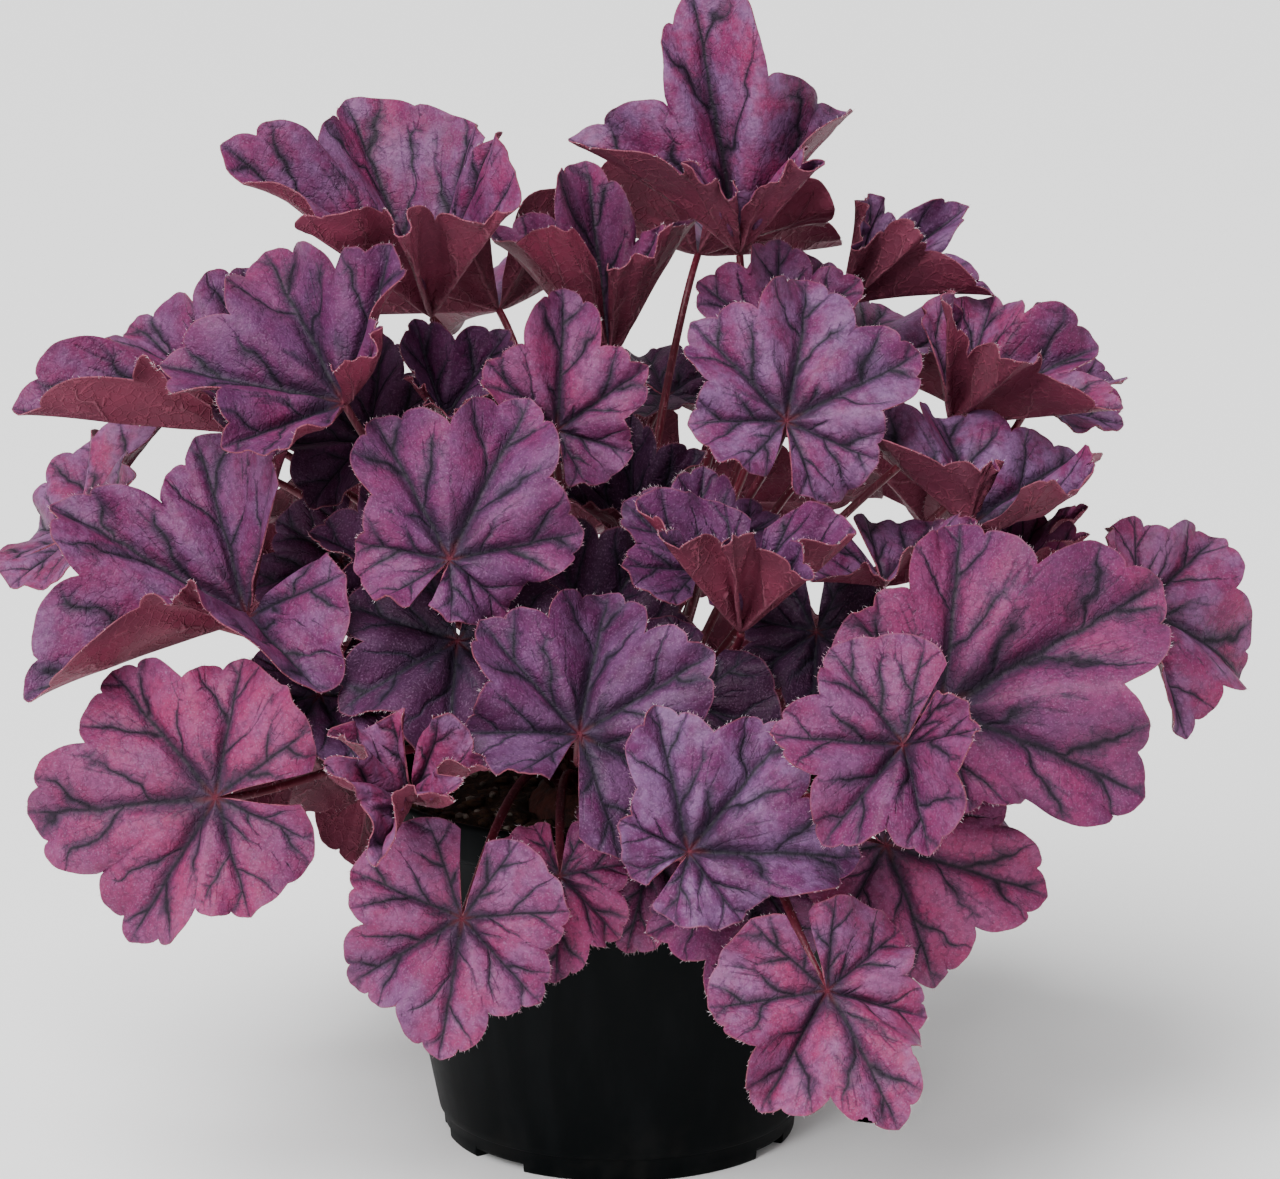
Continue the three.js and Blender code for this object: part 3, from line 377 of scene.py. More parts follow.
class HeucheraStageSettings(bpy.types.PropertyGroup):
    """Floor, light and camera."""

    floor_colour: colour_setting("Floor Colour", "Colour of the plain floor", (0.97, 0.97, 0.97))
    sky: number_setting("Surround Light", "Strength of the even light from all round", 0.6, 5)
    key: number_setting(
        "High Light", "Strength of the large soft light overhead, as irradiance", 4.7, 20)
    front: number_setting("Front Light", "Power of the soft light in front, to the left", 34, 500,
                          subtype="POWER", unit="POWER")
    focal_length: number_setting("Focal Length", "Focal length of the camera", 121.6, 400, 20,
                                 subtype="DISTANCE_CAMERA", unit="CAMERA")


# ---------------------------------------------------------------------------------- mesh helpers

def smoothstep(low, high, value):
    """0 below low, 1 above high, and an S-shaped rise between them."""
    share = np.clip((value - low) / (high - low), 0, 1)
    return share * share * (3 - 2 * share)


def normalized(vectors):
    """Vectors of length one along the last axis."""
    length = np.linalg.norm(vectors, axis=-1, keepdims=True)
    return vectors / np.maximum(length, 1e-12)


def even_bearings(count):
    """Bearings in even steps once round, in radians."""
    return 2 * np.pi * np.arange(count) / count


def heading(bearings):
    """The unit vector in the plane at each bearing."""
    return np.stack([np.cos(bearings), np.sin(bearings)], -1)


def point_normals(points, triangles):
    """The sum of the triangles' normals at each point, each weighted by its area."""
    a, b, c = (points[triangles[:, k]] for k in range(3))
    face = np.cross(b - a, c - a)
    total = np.zeros_like(points)
    for corner in range(3):
        np.add.at(total, triangles[:, corner], face)
    return normalized(total)


def grid_triangles(rows, columns, start=0, closed=False):
    """Two triangles for each cell of a grid whose points run along its rows; closed joins the last
    column to the first."""
    row, column = np.meshgrid(np.arange(rows - 1), np.arange(columns - (not closed)), indexing="ij")
    a = start + row * columns + column
    b = start + row * columns + (column + 1) % columns
    c, d = b + columns, a + columns
    return np.stack([np.stack([a, b, c], -1), np.stack([a, c, d], -1)], -2).reshape(-1, 3)


def fan_triangles(apex, ring):
    """Triangles from one point to each pair of neighbours in a row of points."""
    return np.stack([np.full(len(ring) - 1, apex), ring[:-1], ring[1:]], -1)


def ring_mesh(rings, *ends):
    """Points and triangles of closed rings joined in order. The first end point closes the first
    ring with a fan, and the second end point closes the last ring."""
    rows, columns = rings.shape[:2]
    ring = np.arange(columns + 1) % columns
    fans = (ring[::-1], ring + (rows - 1) * columns)
    triangles = [fan_triangles(rows * columns + k, fans[k]) for k in range(len(ends))]
    return (np.concatenate([rings.reshape(-1, 3), np.reshape(ends, (-1, 3))]),
            np.concatenate([grid_triangles(rows, columns, closed=True), *triangles]))


def turned_round(mesh):
    """A mesh with every face turned round."""
    return mesh[0], mesh[1][:, FLIPPED]


def joined(meshes):
    """Several meshes as one: their points in a row, and each one's triangles counted on."""
    starts = np.cumsum([0] + [len(points) for points, _ in meshes])
    return (np.concatenate([points for points, _ in meshes]),
            np.concatenate([triangles + start for (_, triangles), start in zip(meshes, starts)]))


def lathe(profile, bearings):
    """A ring of points for each radius and height of a profile turned about the Z axis."""
    radius, height = np.array(profile, float).T[..., None]
    return np.stack([radius * np.cos(bearings), radius * np.sin(bearings),
                     height + 0 * bearings], -1)


def make_piece(name, points, triangles, materials, slot, replaces=None, face_materials=None,
               sharp=None, corner_maps=None, point_values=None):
    """Puts arrays of points (millimetres) and triangles into a mesh object that rides on the root.
    corner_maps are UV maps with a pair for each triangle corner. point_values are float
    attributes. sharp holds pairs of points whose edges stay crisp."""
    points = np.clip(points * MM, *np.array(CAD_BOX))
    mesh = bpy.data.meshes.new(name)
    mesh.vertices.add(len(points))
    mesh.vertices.foreach_set("co", points.astype(np.float32).ravel())
    mesh.loops.add(3 * len(triangles))
    mesh.loops.foreach_set("vertex_index", triangles.astype(np.int32).ravel())
    mesh.polygons.add(len(triangles))
    mesh.polygons.foreach_set("loop_start", np.arange(0, 3 * len(triangles), 3, dtype=np.int32))
    mesh.polygons.foreach_set("use_smooth", np.ones(len(triangles), bool))
    if face_materials is not None:
        mesh.polygons.foreach_set("material_index", face_materials.astype(np.int32))
    for map_name, pairs in (corner_maps or {}).items():
        layer = mesh.uv_layers.new(name=map_name)
        layer.uv.foreach_set("vector", pairs.astype(np.float32).ravel())
    for value_name, values in (point_values or {}).items():
        attribute = mesh.attributes.new(value_name, "FLOAT", "POINT")
        attribute.data.foreach_set("value", values.astype(np.float32))
    mesh.update(calc_edges=True)
    if sharp is not None:
        ends = np.empty(2 * len(mesh.edges), np.int32)
        mesh.edges.foreach_get("vertices", ends)
        key = [len(points) + 1, 1]
        crisp = np.isin(np.sort(ends.reshape(-1, 2), 1) @ key, np.sort(sharp, 1) @ key)
        mesh.edges.foreach_set("use_edge_sharp", crisp)
    for material in materials:
        mesh.materials.append(material)
    piece = bpy.data.objects.new(name, mesh)
    bpy.context.scene.collection.objects.link(piece)
    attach(piece, "root")
    if replaces:
        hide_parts(replaces)
    return piece


# ----------------------------------------------------------------------------- material helpers

class Nodes:
    """Adds shader nodes to one tree, and links what it is given."""

    def __init__(self, tree):
        self.tree = tree

    def feed(self, node, inputs):
        """Links or sets a node's inputs, which are given by name or number."""
        for key, value in inputs.items():
            socket = node.inputs[key]
            if isinstance(value, bpy.types.NodeSocket):
                self.tree.links.new(value, socket)
            elif socket.type == "RGBA":
                socket.default_value = (*value, 1)
            else:
                socket.default_value = value

    def add(self, kind, inputs=None, **settings):
        node = self.tree.nodes.new(kind)
        for setting, value in settings.items():
            setattr(node, setting, value)
        self.feed(node, inputs or {})
        return node

    def math(self, operation, *values, clamp=False):
        return self.add("ShaderNodeMath", dict(enumerate(values)), operation=operation,
                        use_clamp=clamp).outputs[0]

    def times(self, first, second):
        return self.math("MULTIPLY", first, second)

    def times_add(self, value, factor, added):
        return self.math("MULTIPLY_ADD", value, factor, added)

    def ramp(self, value, low, high, out_low=0.0, out_high=1.0):
        """A smooth step of a value between two bounds."""
        return self.add("ShaderNodeMapRange", {
            "Value": value, "From Min": low, "From Max": high, "To Min": out_low,
            "To Max": out_high}, interpolation_type="SMOOTHSTEP").outputs[0]

    def mix(self, factor, first, second):
        return self.add("ShaderNodeMix", {0: factor, 6: first, 7: second},
                        data_type="RGBA").outputs[2]

    def layers(self, colour, *layers):
        """Colours laid over the first one in order, each by its own mask."""
        for mask, over in layers:
            colour = self.mix(mask, colour, over)
        return colour

    def noise(self, vector, scale, detail=3.0, roughness=0.55):
        return self.add("ShaderNodeTexNoise", {
            "Vector": vector, "Scale": scale, "Detail": detail,
            "Roughness": roughness}).outputs["Fac"]

    def cells(self, vector, scale, feature):
        return self.add("ShaderNodeTexVoronoi", {"Vector": vector, "Scale": scale},
                        feature=feature).outputs["Distance"]

    def value(self, name):
        return self.add("ShaderNodeAttribute", attribute_name=name).outputs["Fac"]

    def uv(self, name):
        return self.add("ShaderNodeUVMap", uv_map=name).outputs["UV"]

    def object_place(self):
        return self.add("ShaderNodeTexCoord").outputs["Object"]

    def drawn_out(self, upright):
        """The place on the object, with its height scaled so that a pattern runs up and down."""
        return self.add("ShaderNodeMapping", {
            "Vector": self.object_place(), "Scale": (1, 1, upright)}).outputs[0]

    def bump(self, height, distance, strength=1.0):
        return self.add("ShaderNodeBump", {
            "Height": height, "Distance": distance, "Strength": strength}).outputs["Normal"]

    def venation(self, width):
        """The venation masks of a leaf's own maps and attributes."""
        return self.add("ShaderNodeGroup", {
            "Vein Map": self.uv("veins"), "Branch Map": self.uv("branches"),
            "Between Lobes": self.value("between_lobes"),
            "Rim Distance": self.value("rim_distance"), "Width": width},
            node_tree=venation_group()).outputs

    def grain(self, lump_scale, stipple_scale):
        """The grain outputs over the place on the object."""
        return self.add("ShaderNodeGroup", {
            "Place": self.object_place(), "Lump Scale": lump_scale,
            "Stipple Scale": stipple_scale}, node_tree=grain_group()).outputs


def new_group(name, vectors, numbers, outputs):
    """An empty shader node group with vector and number inputs, and number outputs."""
    group = bpy.data.node_groups.new(name, "ShaderNodeTree")
    sockets = [(socket, "INPUT", "NodeSocketVector") for socket in vectors]
    sockets += [(socket, "INPUT", "NodeSocketFloat") for socket in numbers]
    sockets += [(socket, "OUTPUT", "NodeSocketFloat") for socket in outputs]
    for socket, way, kind in sockets:
        group.interface.new_socket(name=socket, in_out=way, socket_type=kind)
    n = Nodes(group)
    return group, n, n.add("NodeGroupInput").outputs, n.add("NodeGroupOutput")


def new_material(name, specular):
    """A material with a plain specular level, and its nodes."""
    material = bpy.data.materials.new(name)
    material.use_nodes = True
    shader = material.node_tree.nodes["Principled BSDF"]
    shader.inputs["Specular IOR Level"].default_value = specular
    return material, Nodes(material.node_tree)


def finished(material, n, colour, roughness, normal=None):
    """The material, with what changes over its surface linked to its shader."""
    shader = material.node_tree.nodes["Principled BSDF"]
    n.feed(shader, {"Base Color": colour, "Roughness": roughness})
    if normal:
        n.feed(shader, {"Normal": normal})
    return material


def venation_group():
    """Masks of the veins. The vein map holds the place across and along the main vein, the branch
    map the count of side veins and the height at which the side vein left the main one. A line is
    where one of them crosses zero or a half, and each line wanders a little."""
    found = bpy.data.node_groups.get("Leaf Venation")
    if found:
        return found
    group, n, given, out = new_group(
        "Leaf Venation", ("Vein Map", "Branch Map"), ("Between Lobes", "Rim Distance", "Width"),
        ("Core", "Halo", "Net", "Joint"))
    vein = n.add("ShaderNodeSeparateXYZ", {0: given["Vein Map"]}).outputs
    branch = n.add("ShaderNodeSeparateXYZ", {0: given["Branch Map"]}).outputs
    place = n.object_place()
    wander = n.math("SUBTRACT", n.noise(place, 85.0, 1.5), 0.5)
    fray = n.math("SUBTRACT", n.noise(place, 620.0, 2.0, 0.7), 0.5)
    strength = n.ramp(n.noise(place, 55.0, 0.0), 0.34, 0.62, 0.45, 1.15)
    across = n.math("ABSOLUTE", n.times_add(wander, 0.06, vein[0]))
    # main vein: tapers from the joint to the tip
    main_width = n.math("MAXIMUM", n.times_add(vein[1], -0.0135, 0.0180), 0.0034)
    main = n.math("DIVIDE", across, n.times(main_width, given["Width"]))
    # side veins: every half of the branch count, thinner towards the rim
    count = n.times_add(wander, 0.7, branch[0])
    side = n.math("ABSOLUTE", n.times(n.math("SUBTRACT", n.math("FRACT", count), 0.5),
                                      SIDE_VEIN_STEP * 0.66))
    early = n.math("MAXIMUM", n.math("SUBTRACT", 0.16, branch[1]), 0.0)
    side = n.times_add(early, 0.6, side)
    side = n.times_add(given["Between Lobes"], 0.022, side)
    side_width = n.math("MAXIMUM", n.times_add(across, -0.030, 0.0128), 0.0014)
    side_width = n.times(n.times(side_width, strength), given["Width"])
    # twigs: leave each side vein at even steps and thin out within a short way
    climb = n.times(across, 1.45)
    twig = n.math("SUBTRACT", n.math("DIVIDE", n.math("SUBTRACT", climb, side), 0.125), 0.1)
    twig = n.math("FRACT", n.times_add(wander, 1.6, twig))
    twig = n.math("ABSOLUTE", n.math("SUBTRACT", twig, 0.5))
    twig = n.times_add(early, 0.6, n.times_add(side, 0.30, n.times(twig, 0.085)))
    twig = n.math("DIVIDE", twig, n.times(strength, 0.0046))
    side = n.math("DIVIDE", side, side_width)
    nearest = n.math("MINIMUM", n.math("MINIMUM", main, side), twig)
    nearest = n.math("ADD", nearest, n.ramp(given["Rim Distance"], 0.0, 8.0, 2.4, 0.0))
    nearest = n.times_add(fray, 1.3, nearest)
    # the net of small veins: edges of wandering cells, denser near the veins
    drifted = n.add("ShaderNodeVectorMath", {0: fray, 1: (0.003, -0.002, 0.0025), 2: place},
                    operation="MULTIPLY_ADD").outputs[0]
    net = n.times(n.ramp(n.cells(drifted, 270.0, "DISTANCE_TO_EDGE"), 0.0, 0.11, 1.0, 0.0),
                  n.ramp(nearest, 2.0, 14.0, 1.0, 0.3))
    n.feed(out, {
        "Core": n.ramp(nearest, 0.1, 2.1, 1.0, 0.0),
        "Halo": n.ramp(n.times_add(fray, 3.4, nearest), 0.3, 7.5, 1.0, 0.0), "Net": net,
        "Joint": n.math("SQRT", n.math("ADD", n.times(vein[0], vein[0]),
                                       n.times(vein[1], vein[1])))})
    return group


def upper_side_material(settings):
    """Purple to pink, near-black where the tone is below 0 as painted shade on the inner leaves,
    with dark feathered veins, silver bloom beside them, pale speckles on the grain's tops as a
    painted highlight, a red joint and a pale rim."""
    material, n = new_material("Leaf Upper Side", 0.14)
    masks = n.venation(1.0)
    place = n.object_place()
    cloud = n.noise(place, 34.0, 3.0, 0.6)
    veil = n.noise(place, 75.0, 3.0, 0.65)
    pucker = n.noise(place, 420.0, 2.0, 0.65)
    grain = n.noise(place, 1500.0, 1.0, 0.7)
    tone = n.math("ADD", n.value("tone"), n.times_add(cloud, 1.5, -0.75))
    joint = n.times_add(n.math("SUBTRACT", cloud, 0.5), 0.18, masks["Joint"])
    red = n.times(masks["Core"], n.ramp(masks["Joint"], 0.02, 0.16, 0.45, 0.0))
    colour = n.layers(
        n.mix(n.math("ADD", tone, 0.0, clamp=True), settings.purple, settings.pink),
        # tone below 0 darkens the leaf towards near-black: painted shade on the inner leaves
        (n.ramp(tone, -1.0, 0.0, 0.8, 0.0), linear(23, 16, 27)),
        (n.ramp(cloud, 0.35, 0.62, 0.30, 0.0), linear(58, 19, 55)),
        (n.times(n.value("bloom"), n.ramp(veil, 0.36, 0.66, 0.0, 0.85)), settings.bloom),
        (n.times(masks["Net"], 0.42), linear(50, 27, 50)),
        (n.ramp(pucker, 0.38, 0.52, 0.30, 0.0), linear(48, 22, 46)),
        # pale speckles on the grain's tops, where the bump is highest: painted highlight
        (n.ramp(grain, 0.5, 0.8, 0.0, 0.25), linear(150, 113, 146)),
        (n.ramp(joint, 0.05, 0.42, 0.62, 0.0), linear(35, 23, 37)),
        (n.times(masks["Halo"], 0.80), linear(42, 34, 50)),
        (n.times(masks["Core"], 0.82), settings.vein),
        (n.math("MAXIMUM", red, n.ramp(masks["Joint"], 0.01, 0.05, 0.65, 0.0)),
         linear(92, 22, 38)),
        (n.ramp(n.value("rim_distance"), 0.1, 0.7, 0.5, 0.0), linear(120, 62, 83)))
    roughness = n.times_add(masks["Core"], 0.10, n.ramp(grain, 0.3, 0.8, 0.44, 0.58))
    height = n.times_add(masks["Halo"], -0.8, n.times(masks["Net"], -0.30))
    height = n.times_add(grain, 0.16, n.times_add(pucker, 1.0, height))
    return finished(material, n, colour, roughness, n.bump(height, 0.0005, 0.9))


def underside_material(settings):
    """Wine red with paler raised veins and a bright net, darker and duller where the tone is below
    0 as painted shade on the inner leaves, and pale speckles on the grain's tops as a painted
    highlight.
    """
    material, n = new_material("Leaf Underside", 0.14)
    masks = n.venation(0.75)
    place = n.object_place()
    cloud = n.noise(place, 22.0, 3.0, 0.6)
    grain = n.noise(place, 1300.0, 1.0, 0.7)
    colour = n.layers(
        n.mix(n.ramp(cloud, 0.3, 0.7), linear(73, 25, 41), settings.underside),
        (n.times(n.value("bloom"), 0.3), linear(120, 69, 88)),
        # tone below 0 darkens the inner leaves: painted shade
        (n.ramp(n.value("tone"), -1.0, 0.0, 0.6, 0.0), linear(32, 14, 23)),
        (n.times(masks["Net"], 0.65), linear(140, 66, 86)),
        (n.times(masks["Halo"], 0.22), linear(53, 16, 30)),
        (n.times(masks["Core"], 0.75), linear(140, 76, 94)),
        # pale speckles on the grain's tops, where the bump is highest: painted highlight
        (n.ramp(grain, 0.5, 0.8, 0.0, 0.25), linear(133, 85, 103)),
        (n.ramp(n.value("rim_distance"), 0.1, 0.7, 0.5, 0.0), linear(131, 71, 85)))
    height = n.times_add(grain, 0.18, n.times_add(masks["Core"], 1.2, masks["Net"]))
    return finished(material, n, colour, n.ramp(grain, 0.3, 0.8, 0.50, 0.66),
                    n.bump(height, 0.0005, 0.9))


def stalk_material(settings):
    """Crimson, streaked along the stalk and paler in patches."""
    material, n = new_material("Leaf Stalk", 0.3)
    streak = n.noise(n.drawn_out(0.12), 900.0, 3.0, 0.6)
    patch = n.noise(n.object_place(), 45.0, 3.0)
    colour = n.layers(settings.stalk, (n.ramp(patch, 0.35, 0.7, 0.0, 0.7), linear(86, 30, 48)),
                      (n.ramp(streak, 0.5, 0.75, 0.0, 0.45), linear(170, 92, 110)))
    return finished(material, n, colour, n.ramp(patch, 0.3, 0.7, 0.38, 0.52),
                    n.bump(streak, 0.0002, 0.6))


def hair_material():
    """Whitish hairs, pinker in places."""
    material, n = new_material("Leaf Hairs", 0.5)
    patch = n.noise(n.object_place(), 70.0, 2.0)
    colour = n.mix(n.ramp(patch, 0.35, 0.65), linear(232, 214, 222), linear(206, 150, 172))
    return finished(material, n, colour, n.ramp(patch, 0.3, 0.7, 0.35, 0.5))


def grain_group():
    """Height of a fine moulded or crumbly grain: large lumps and a fine stipple added up."""
    found = bpy.data.node_groups.get("Grain Height")
    if found:
        return found
    group, n, given, out = new_group("Grain Height", ("Place",), ("Lump Scale", "Stipple Scale"),
                                     ("Height", "Lumps"))
    lumps = n.noise(given["Place"], given["Lump Scale"], 4.0, 0.6)
    stipple = n.noise(given["Place"], given["Stipple Scale"], 2.0, 0.6)
    n.feed(out, {"Height": n.times_add(stipple, 0.4, lumps), "Lumps": lumps})
    return group


def pot_material(settings):
    """Near-black moulded plastic: fine stipple, flow marks up the wall and dry dust low down."""
    material, n = new_material("Pot Plastic", 0.05)
    grain = n.grain(60.0, 2400.0)
    height = n.add("ShaderNodeSeparateXYZ", {0: n.object_place()}).outputs[2]
    flow = n.noise(n.drawn_out(0.08), 120.0, 3.0, 0.5)
    dust = n.times(n.ramp(height, 0.0, 0.03, 1.0, 0.15),
                   n.ramp(grain["Lumps"], 0.45, 0.75, 0.0, 0.30))
    colour = n.layers(settings.colour, (n.ramp(flow, 0.4, 0.7, 0.0, 0.35), linear(14, 16, 18)),
                      (dust, linear(34, 32, 30)))
    roughness = n.times_add(n.math("SUBTRACT", grain["Lumps"], 0.5), 0.25, settings.roughness)
    return finished(material, n, colour, roughness, n.bump(grain["Height"], 0.00012, 0.5))


def grainy_material(name, specular, scales, hollows, lumps, roughness, depth, middles=None):
    """A rough natural finish: one colour in the hollows of its grain and another on the lumps, and
    where middles is given, that colour in the middles of small cells."""
    material, n = new_material(name, specular)
    grain = n.grain(*scales)
    colour = n.mix(n.ramp(grain["Lumps"], 0.35, 0.65), hollows, lumps)
    if middles:
        cells = n.cells(n.object_place(), 420.0, "F1")
        colour = n.mix(n.ramp(cells, 0.1, 0.5, 0.5, 0.0), colour, middles)
    return finished(material, n, colour, n.ramp(grain["Lumps"], 0.3, 0.7, *roughness),
                    n.bump(grain["Height"], depth))


# ------------------------------------------------------------------------------------ leaf shape

def blade_edge(angles, lobes):
    """Distance of the blade's edge from the stalk joint at each angle, as a share of the leaf's
    length: rounded lobes with three teeth each, and three fine teeth to each tooth."""
    lobes = np.array(lobes, float)
    lobe = np.clip(np.floor(angles / LOBE_STEP + 2.5).astype(int), 0, 4)
    from_middle = angles - (lobe - 2) * LOBE_STEP
    side = np.where(from_middle < 0, -1, 1)
    outer = ((lobe == 0) & (side < 0)) | ((lobe == 4) & (side > 0))
    across = from_middle / np.where(outer, OUTER_HALF_LOBE, LOBE_STEP / 2)
    neighbour = lobes[np.clip(lobe + side, 0, 4)]
    notch = np.where(outer, SINUS_RADIUS * lobes[lobe],
                     (1 - NOTCH_DEPTH) * (lobes[lobe] + neighbour) / 2)
    rounded = lobes[lobe] + (notch - lobes[lobe]) * np.abs(across) ** LOBE_ROUNDNESS
    tooth = TOOTH_DEPTH * (1 - np.abs(np.cos(1.5 * np.pi * across)) ** 0.6)
    fine = FINE_TOOTH_DEPTH * (1 - np.abs(np.cos(4.5 * np.pi * across)) ** 0.8)
    point = TIP_POINT * np.clip(1 - 3 * np.abs(across), 0, 1)
    return rounded * (1 - tooth - fine + point), across


def blend_lobes(angles, values):
    """A value given for each lobe, blended by half a cosine wave round the blade."""
    values = np.broadcast_to(np.array(values, float), 5)
    place = np.clip(angles / LOBE_STEP + 2, 0, 4)
    lobe = np.clip(np.floor(place).astype(int), 0, 3)
    share = (1 - np.cos(np.pi * (place - lobe))) / 2
    return values[lobe] * (1 - share) + values[lobe + 1] * share


def leaf_noise(index, channel):
    """A steady pseudo-random number from 0 to 1 for a leaf."""
    value = math.sin(index * 12.9898 + channel * 78.233) * 43758.5453
    return value - math.floor(value)


def wave_phase(index, channel):
    """Where a wave round the blade starts, which differs from leaf to leaf."""
    return PHASE_TURN * leaf_noise(index, channel)


def blade_points(angles, reach, leaf, index):
    """Points of the blade's middle surface in the leaf's own frame: the stalk joint is the origin,
    the tip lobe points along +Y and the upper side along +Z. Each rib leaves the joint at its lift
    angle and bends as a circular arc by its curl, the blade folds up between the ribs by half a
    cosine wave of its fold angle, and the rim is waved by two sines of the angle that grow with
    the reach to the power 2.5."""
    radius, across = blade_edge(angles, leaf.lobes)
    fold = leaf.fold * (1 - np.cos(np.pi * across)) / 2
    rise = np.radians(blend_lobes(angles, leaf.lift) + fold)
    curl = np.radians(blend_lobes(angles, leaf.curl))
    bend = np.where(np.abs(curl) < 1e-4, 1e-4, curl)
    out = (np.sin(rise + bend * reach) - np.sin(rise)) / bend
    up = (np.cos(rise) - np.cos(rise + bend * reach)) / bend
    turn = np.radians(angles)
    ripple = (np.sin(3.3 * turn + wave_phase(index, 1))
              + 0.7 * np.sin(5.7 * turn + wave_phase(index, 2)))
    wave = leaf.wave * ripple * reach ** 2.5
    flat = leaf.length * radius * out
    return np.stack([flat * np.sin(turn), flat * np.cos(turn),
                     leaf.length * (radius * up + wave)], -1)


def leaf_frame(leaf):
    """The leaf's own frame: columns for its right, its tip and its upper side, and its hub."""
    azimuth, elevation = (math.radians(a) for a in leaf.face)
    spin = math.radians(leaf.spin)
    upper = np.array([math.sin(azimuth) * math.cos(elevation),
                      -math.cos(azimuth) * math.cos(elevation), math.sin(elevation)])
    upward = np.array([-math.sin(azimuth) * math.sin(elevation),
                       math.cos(azimuth) * math.sin(elevation), math.cos(elevation)])
    sideways = np.cross(upward, upper)
    tip = math.cos(spin) * upward + math.sin(spin) * sideways
    right = math.cos(spin) * sideways - math.sin(spin) * upward
    return np.stack([right, tip, upper], -1), np.array(leaf.hub, float)


def stalk_feet():
    """Where each stalk stands on the crown and its first direction: upright leaves get the inner
    circle, and within a circle the stalks are evenly spaced in the order of their leaves."""
    crown = np.array([0, 0, CROWN_CENTRE_HEIGHT], float)
    ways = np.array([leaf.hub for leaf in LEAVES], float) - crown
    slopes = np.arccos(ways[:, 2] / np.linalg.norm(ways, axis=1))
    bearings = np.arctan2(ways[:, 1], ways[:, 0])
    order = np.argsort(slopes, kind="stable")
    feet = np.zeros((len(LEAVES), 2, 3))
    for count, slope in STALK_CIRCLES:
        circle, order = order[:count], order[count:]
        circle = circle[np.argsort(bearings[circle], kind="stable")]
        step = even_bearings(len(circle))
        turns = bearings[circle] - step
        bearing = math.atan2(np.sin(turns).sum(), np.cos(turns).sum()) + step
        tilt = math.radians(slope)
        way = np.insert(math.sin(tilt) * heading(bearing), 2, math.cos(tilt), axis=-1)
        feet[circle, 0] = crown + way * (CROWN_RADIUS + FOOT_CLEARANCE)
        feet[circle, 1] = way
    return feet


def blade_grid():
    """The blade's grid, alike for every leaf. Point 0 is the joint. Each row runs round at one
    reach, and where the columns double, three triangles join each coarse cell. Gives the points'
    angles and reaches, the triangles, each triangle's vein sector and the boundary's points."""
    angles, reaches, starts, counts = [np.zeros(1)], [np.zeros(1)], [], []
    start = 1
    for reach, half_columns in BLADE_ROWS:
        turn = np.arange(10 * half_columns + 1) / half_columns
        angles.append(np.interp(turn, GRID_TURNS, GRID_ANGLES))
        reaches.append(np.full(len(turn), reach))
        starts.append(start)
        counts.append(len(turn))
        start += len(turn)
    triangles = [fan_triangles(0, starts[0] + np.arange(counts[0])[::-1])]
    for low, high, columns, outer_columns in zip(starts, starts[1:], counts, counts[1:]):
        if columns == outer_columns:
            triangles.append(grid_triangles(2, columns, low))
        else:
            column = np.arange(columns - 1)
            a, b = low + column, low + column + 1
            c, d, e = (high + 2 * column + step for step in range(3))
            triangles += [np.stack(corners, -1) for corners in ((a, d, c), (a, b, d), (b, e, d))]
    triangles = np.concatenate(triangles)
    angles, reaches = np.concatenate(angles), np.concatenate(reaches)
    # a triangle's sector is its middle's, where the joint counts for every angle
    at_joint = triangles == 0
    middle = np.where(at_joint, 0, angles[triangles]).sum(1) / (~at_joint).sum(1)
    ends = np.array(starts) + np.array(counts) - 1
    boundary = np.concatenate([[0], starts, starts[-1] + np.arange(1, counts[-1] - 1), ends[::-1]])
    return angles, reaches, triangles, np.searchsorted(VEIN_BOUNDS, middle), boundary


def vein_places(angles, reach, radius, lobes, sector):
    """Place across and along the sector's main vein for the leaf's length, and the place where the
    side vein there left it. A side vein leaves the main vein at its start and climbs by a share of
    the way across plus a share of its square."""
    turn = np.radians(angles - VEIN_ANGLES[sector])
    flat = radius * reach / (np.array(lobes, float)[VEIN_LOBES] * VEIN_LENGTHS)[sector]
    across, along = flat * np.sin(turn), flat * np.cos(turn)
    climb = SIDE_VEIN_CLIMB * np.abs(across) + SIDE_VEIN_CURVE * across ** 2
    return across, along, along - climb


def quilting(across, count, start, between, reach):
    """Height of the puffed blade from 0 to 1: low along the main vein and each side vein, high
    between them, level at the joint and lower at the rim."""
    cell = np.abs(np.cos(np.pi * count)) ** 0.7
    shown = (1 - between) * smoothstep(0.06, 0.17, start)
    cell = 1 - shown * (1 - cell)
    valley = smoothstep(0, 0.085, np.abs(across))
    return valley * (0.35 + 0.65 * cell) * smoothstep(0.04, 0.32, reach) * (1 - 0.55 * reach ** 6)


